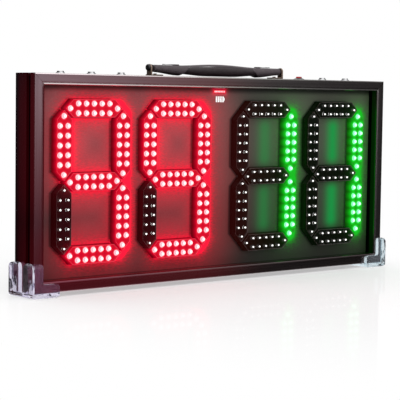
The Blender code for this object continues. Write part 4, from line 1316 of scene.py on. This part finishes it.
def clearPlasticFinish():
    material, tree, shader = newMaterial("clear_shoe_plastic")
    texture = grain(tree, 9 * mm, detail=2.0)
    # Painted light: the same clear plastic is tinted violet at the left shoe and bluer at the right
    violet = twoTone(tree, texture, (0.55, 0.5, 0.68), (0.86, 0.84, 0.95))
    bluish = twoTone(tree, texture, (0.5, 0.62, 0.68), (0.82, 0.9, 0.94))
    atRight = mathNode(tree, "GREATER_THAN", spotOn(tree)["X"], 0.0)
    setInputs(tree, shader, {
        "Base Color": mixedColour(tree, atRight, violet, bluish),
        "Roughness": mapped(tree, texture, 0.0, 1.0, 0.0, 0.03),
        "Transmission Weight": 1.0,
        "IOR": 1.35,
        "Normal": bumped(tree, texture, 0.5, 1.2 * mm),
    })
    return material


clearPlastic = clearPlasticFinish()
for side in ("left", "right"):
    node = f"corner_shoe_{side}"
    makePiece(nodeCopy(node), f"{node}_clear", clearPlastic, instead=[node], sharp=20)
print("shoes made")


# Floor, light and camera

# Straight to the camera or through clear plastic
def seenStraight(tree, path):
    return highest(tree, path["Is Camera Ray"], path["Is Transmission Ray"])


def makeFloor():
    bm = bmesh.new()
    bmesh.ops.create_grid(bm, x_segments=8, y_segments=8, size=12)
    floor = addObject("studio_floor", asMesh(bm, "studio_floor"))
    material, tree, shader = newMaterial("pale_floor")
    tree.nodes.remove(shader)
    texture = twoTone(tree, grain(tree, 0.4), (0.93, 0.93, 0.935), (0.95, 0.95, 0.955))
    matt = addNode(tree, "ShaderNodeBsdfDiffuse", {"Color": texture})
    sheen = addNode(tree, "ShaderNodeBsdfGlossy", {"Color": (1, 1, 1, 1), "Roughness": 0.03})
    surface = addNode(tree, "ShaderNodeMixShader", {0: 0.12, 1: matt.outputs[0], 2: sheen.outputs[0]})
    # Far from the board the floor runs into the white background
    away = vectorNode(tree, "LENGTH", vectorNode(tree, "MULTIPLY", objectPoint(tree), (1.0, 0.55, 1.0)))
    far = faded(tree, away, 0.2, 0.52, 0.35, 1.0)
    share = product(tree, far, seenStraight(tree, tree.nodes.new("ShaderNodeLightPath").outputs))
    white = addNode(tree, "ShaderNodeEmission", {"Color": (1, 1, 1, 1), "Strength": 1.0})
    blended = addNode(tree, "ShaderNodeMixShader", {0: share, 1: surface.outputs[0], 2: white.outputs[0]})
    tree.links.new(blended.outputs[0], tree.nodes["Material Output"].inputs["Surface"])
    floor.data.materials.append(material)
    floor.visible_glossy = False


# White for everything seen straight or through plastic. In reflections the room is dark at the sides,
# bright behind the board, overhead and low in front, and bright in front towards the left end.
def makeWorld():
    world = bpy.data.worlds.new("studio")
    bpy.context.scene.world = world
    world.use_nodes = True
    tree = world.node_tree
    facing = tree.nodes.new("ShaderNodeTexCoord").outputs["Generated"]
    parts = partsOf(tree, facing)
    towardsBackdrop = vectorNode(tree, "DOT_PRODUCT", facing, (0.65, 0.76, 0.0))
    behind = faded(tree, towardsBackdrop, 0.7, 0.93, 0.0, 0.95)
    overhead = faded(tree, parts["Z"], 0.2, 0.8, 0.0, 0.7)
    floorward = product(
        tree,
        faded(tree, parts["Z"], -0.25, -0.6, 0.0, 0.95),
        faded(tree, parts["X"], 0.8, 0.55, 0.1, 1.0),
    )
    ahead = product(
        tree,
        faded(tree, parts["Y"], -0.3, -0.55),
        faded(tree, parts["Z"], -0.09, 0.03),
        mapped(tree, parts["X"], 0.555, 0.71, 0.95, 0.03),
    )
    room = added(tree, 0.03, behind, overhead, floorward, ahead)
    path = tree.nodes.new("ShaderNodeLightPath").outputs
    mirrored = addNode(tree, "ShaderNodeMix", {"Factor": path["Is Glossy Ray"], "A": 0.95, "B": room})
    inputs = {"Factor": seenStraight(tree, path), "A": mirrored.outputs["Result"], "B": 1.0}
    strength = addNode(tree, "ShaderNodeMix", inputs).outputs["Result"]
    setInputs(tree, tree.nodes["Background"], {"Color": (1, 1, 1, 1), "Strength": strength})


def addSoftbox(name, place, aim, size, watts):
    light = bpy.data.lights.new(name, "AREA")
    light.shape = "RECTANGLE"
    light.size, light.size_y = size
    light.energy = watts
    lamp = addObject(name, light)
    lamp.location = place
    lamp.rotation_euler = (Vector(aim) - Vector(place)).to_track_quat("-Z", "Y").to_euler()


photoCamera = {
    "place": (-1.2622, -1.4425, 0.2428),
    "yaw": -40.563,
    "pitch": 4.081,
    "roll": 0.782,
    "lens": 129.44,
}


def makeCamera():
    yaw, pitch, roll = (math.radians(photoCamera[key]) for key in ("yaw", "pitch", "roll"))
    back = Vector((math.sin(yaw) * math.cos(pitch), -math.cos(yaw) * math.cos(pitch), math.sin(pitch)))
    right = (-back).cross(Vector((0, 0, 1))).normalized()
    up = right.cross(-back)
    turnedRight = math.cos(roll) * right + math.sin(roll) * up
    turnedUp = math.cos(roll) * up - math.sin(roll) * right
    data = bpy.data.cameras.new("photo_camera")
    data.sensor_width = 36
    data.lens = photoCamera["lens"]
    data.clip_start = 0.05
    camera = addObject("photo_camera", data)
    matrix = Matrix((turnedRight, turnedUp, back)).transposed().to_4x4()
    matrix.translation = photoCamera["place"]
    camera.matrix_world = matrix
    bpy.context.scene.camera = camera


makeFloor()
makeWorld()
addSoftbox("front_softbox", (0.3, -1.9, 0.9), (-0.1, 0, 0.2), (1.0, 0.6), 1.5)
addSoftbox("upper_left_spot", (-2.2, -0.9, 1.6), (0, 0, 0.14), (0.2, 0.2), 3.0)
addSoftbox("top_softbox", (-0.2, -0.2, 2.2), (0, 0, 0.1), (2.0, 1.4), 8)
makeCamera()
bpy.context.scene.view_settings.view_transform = "Standard"
print("stage ready")
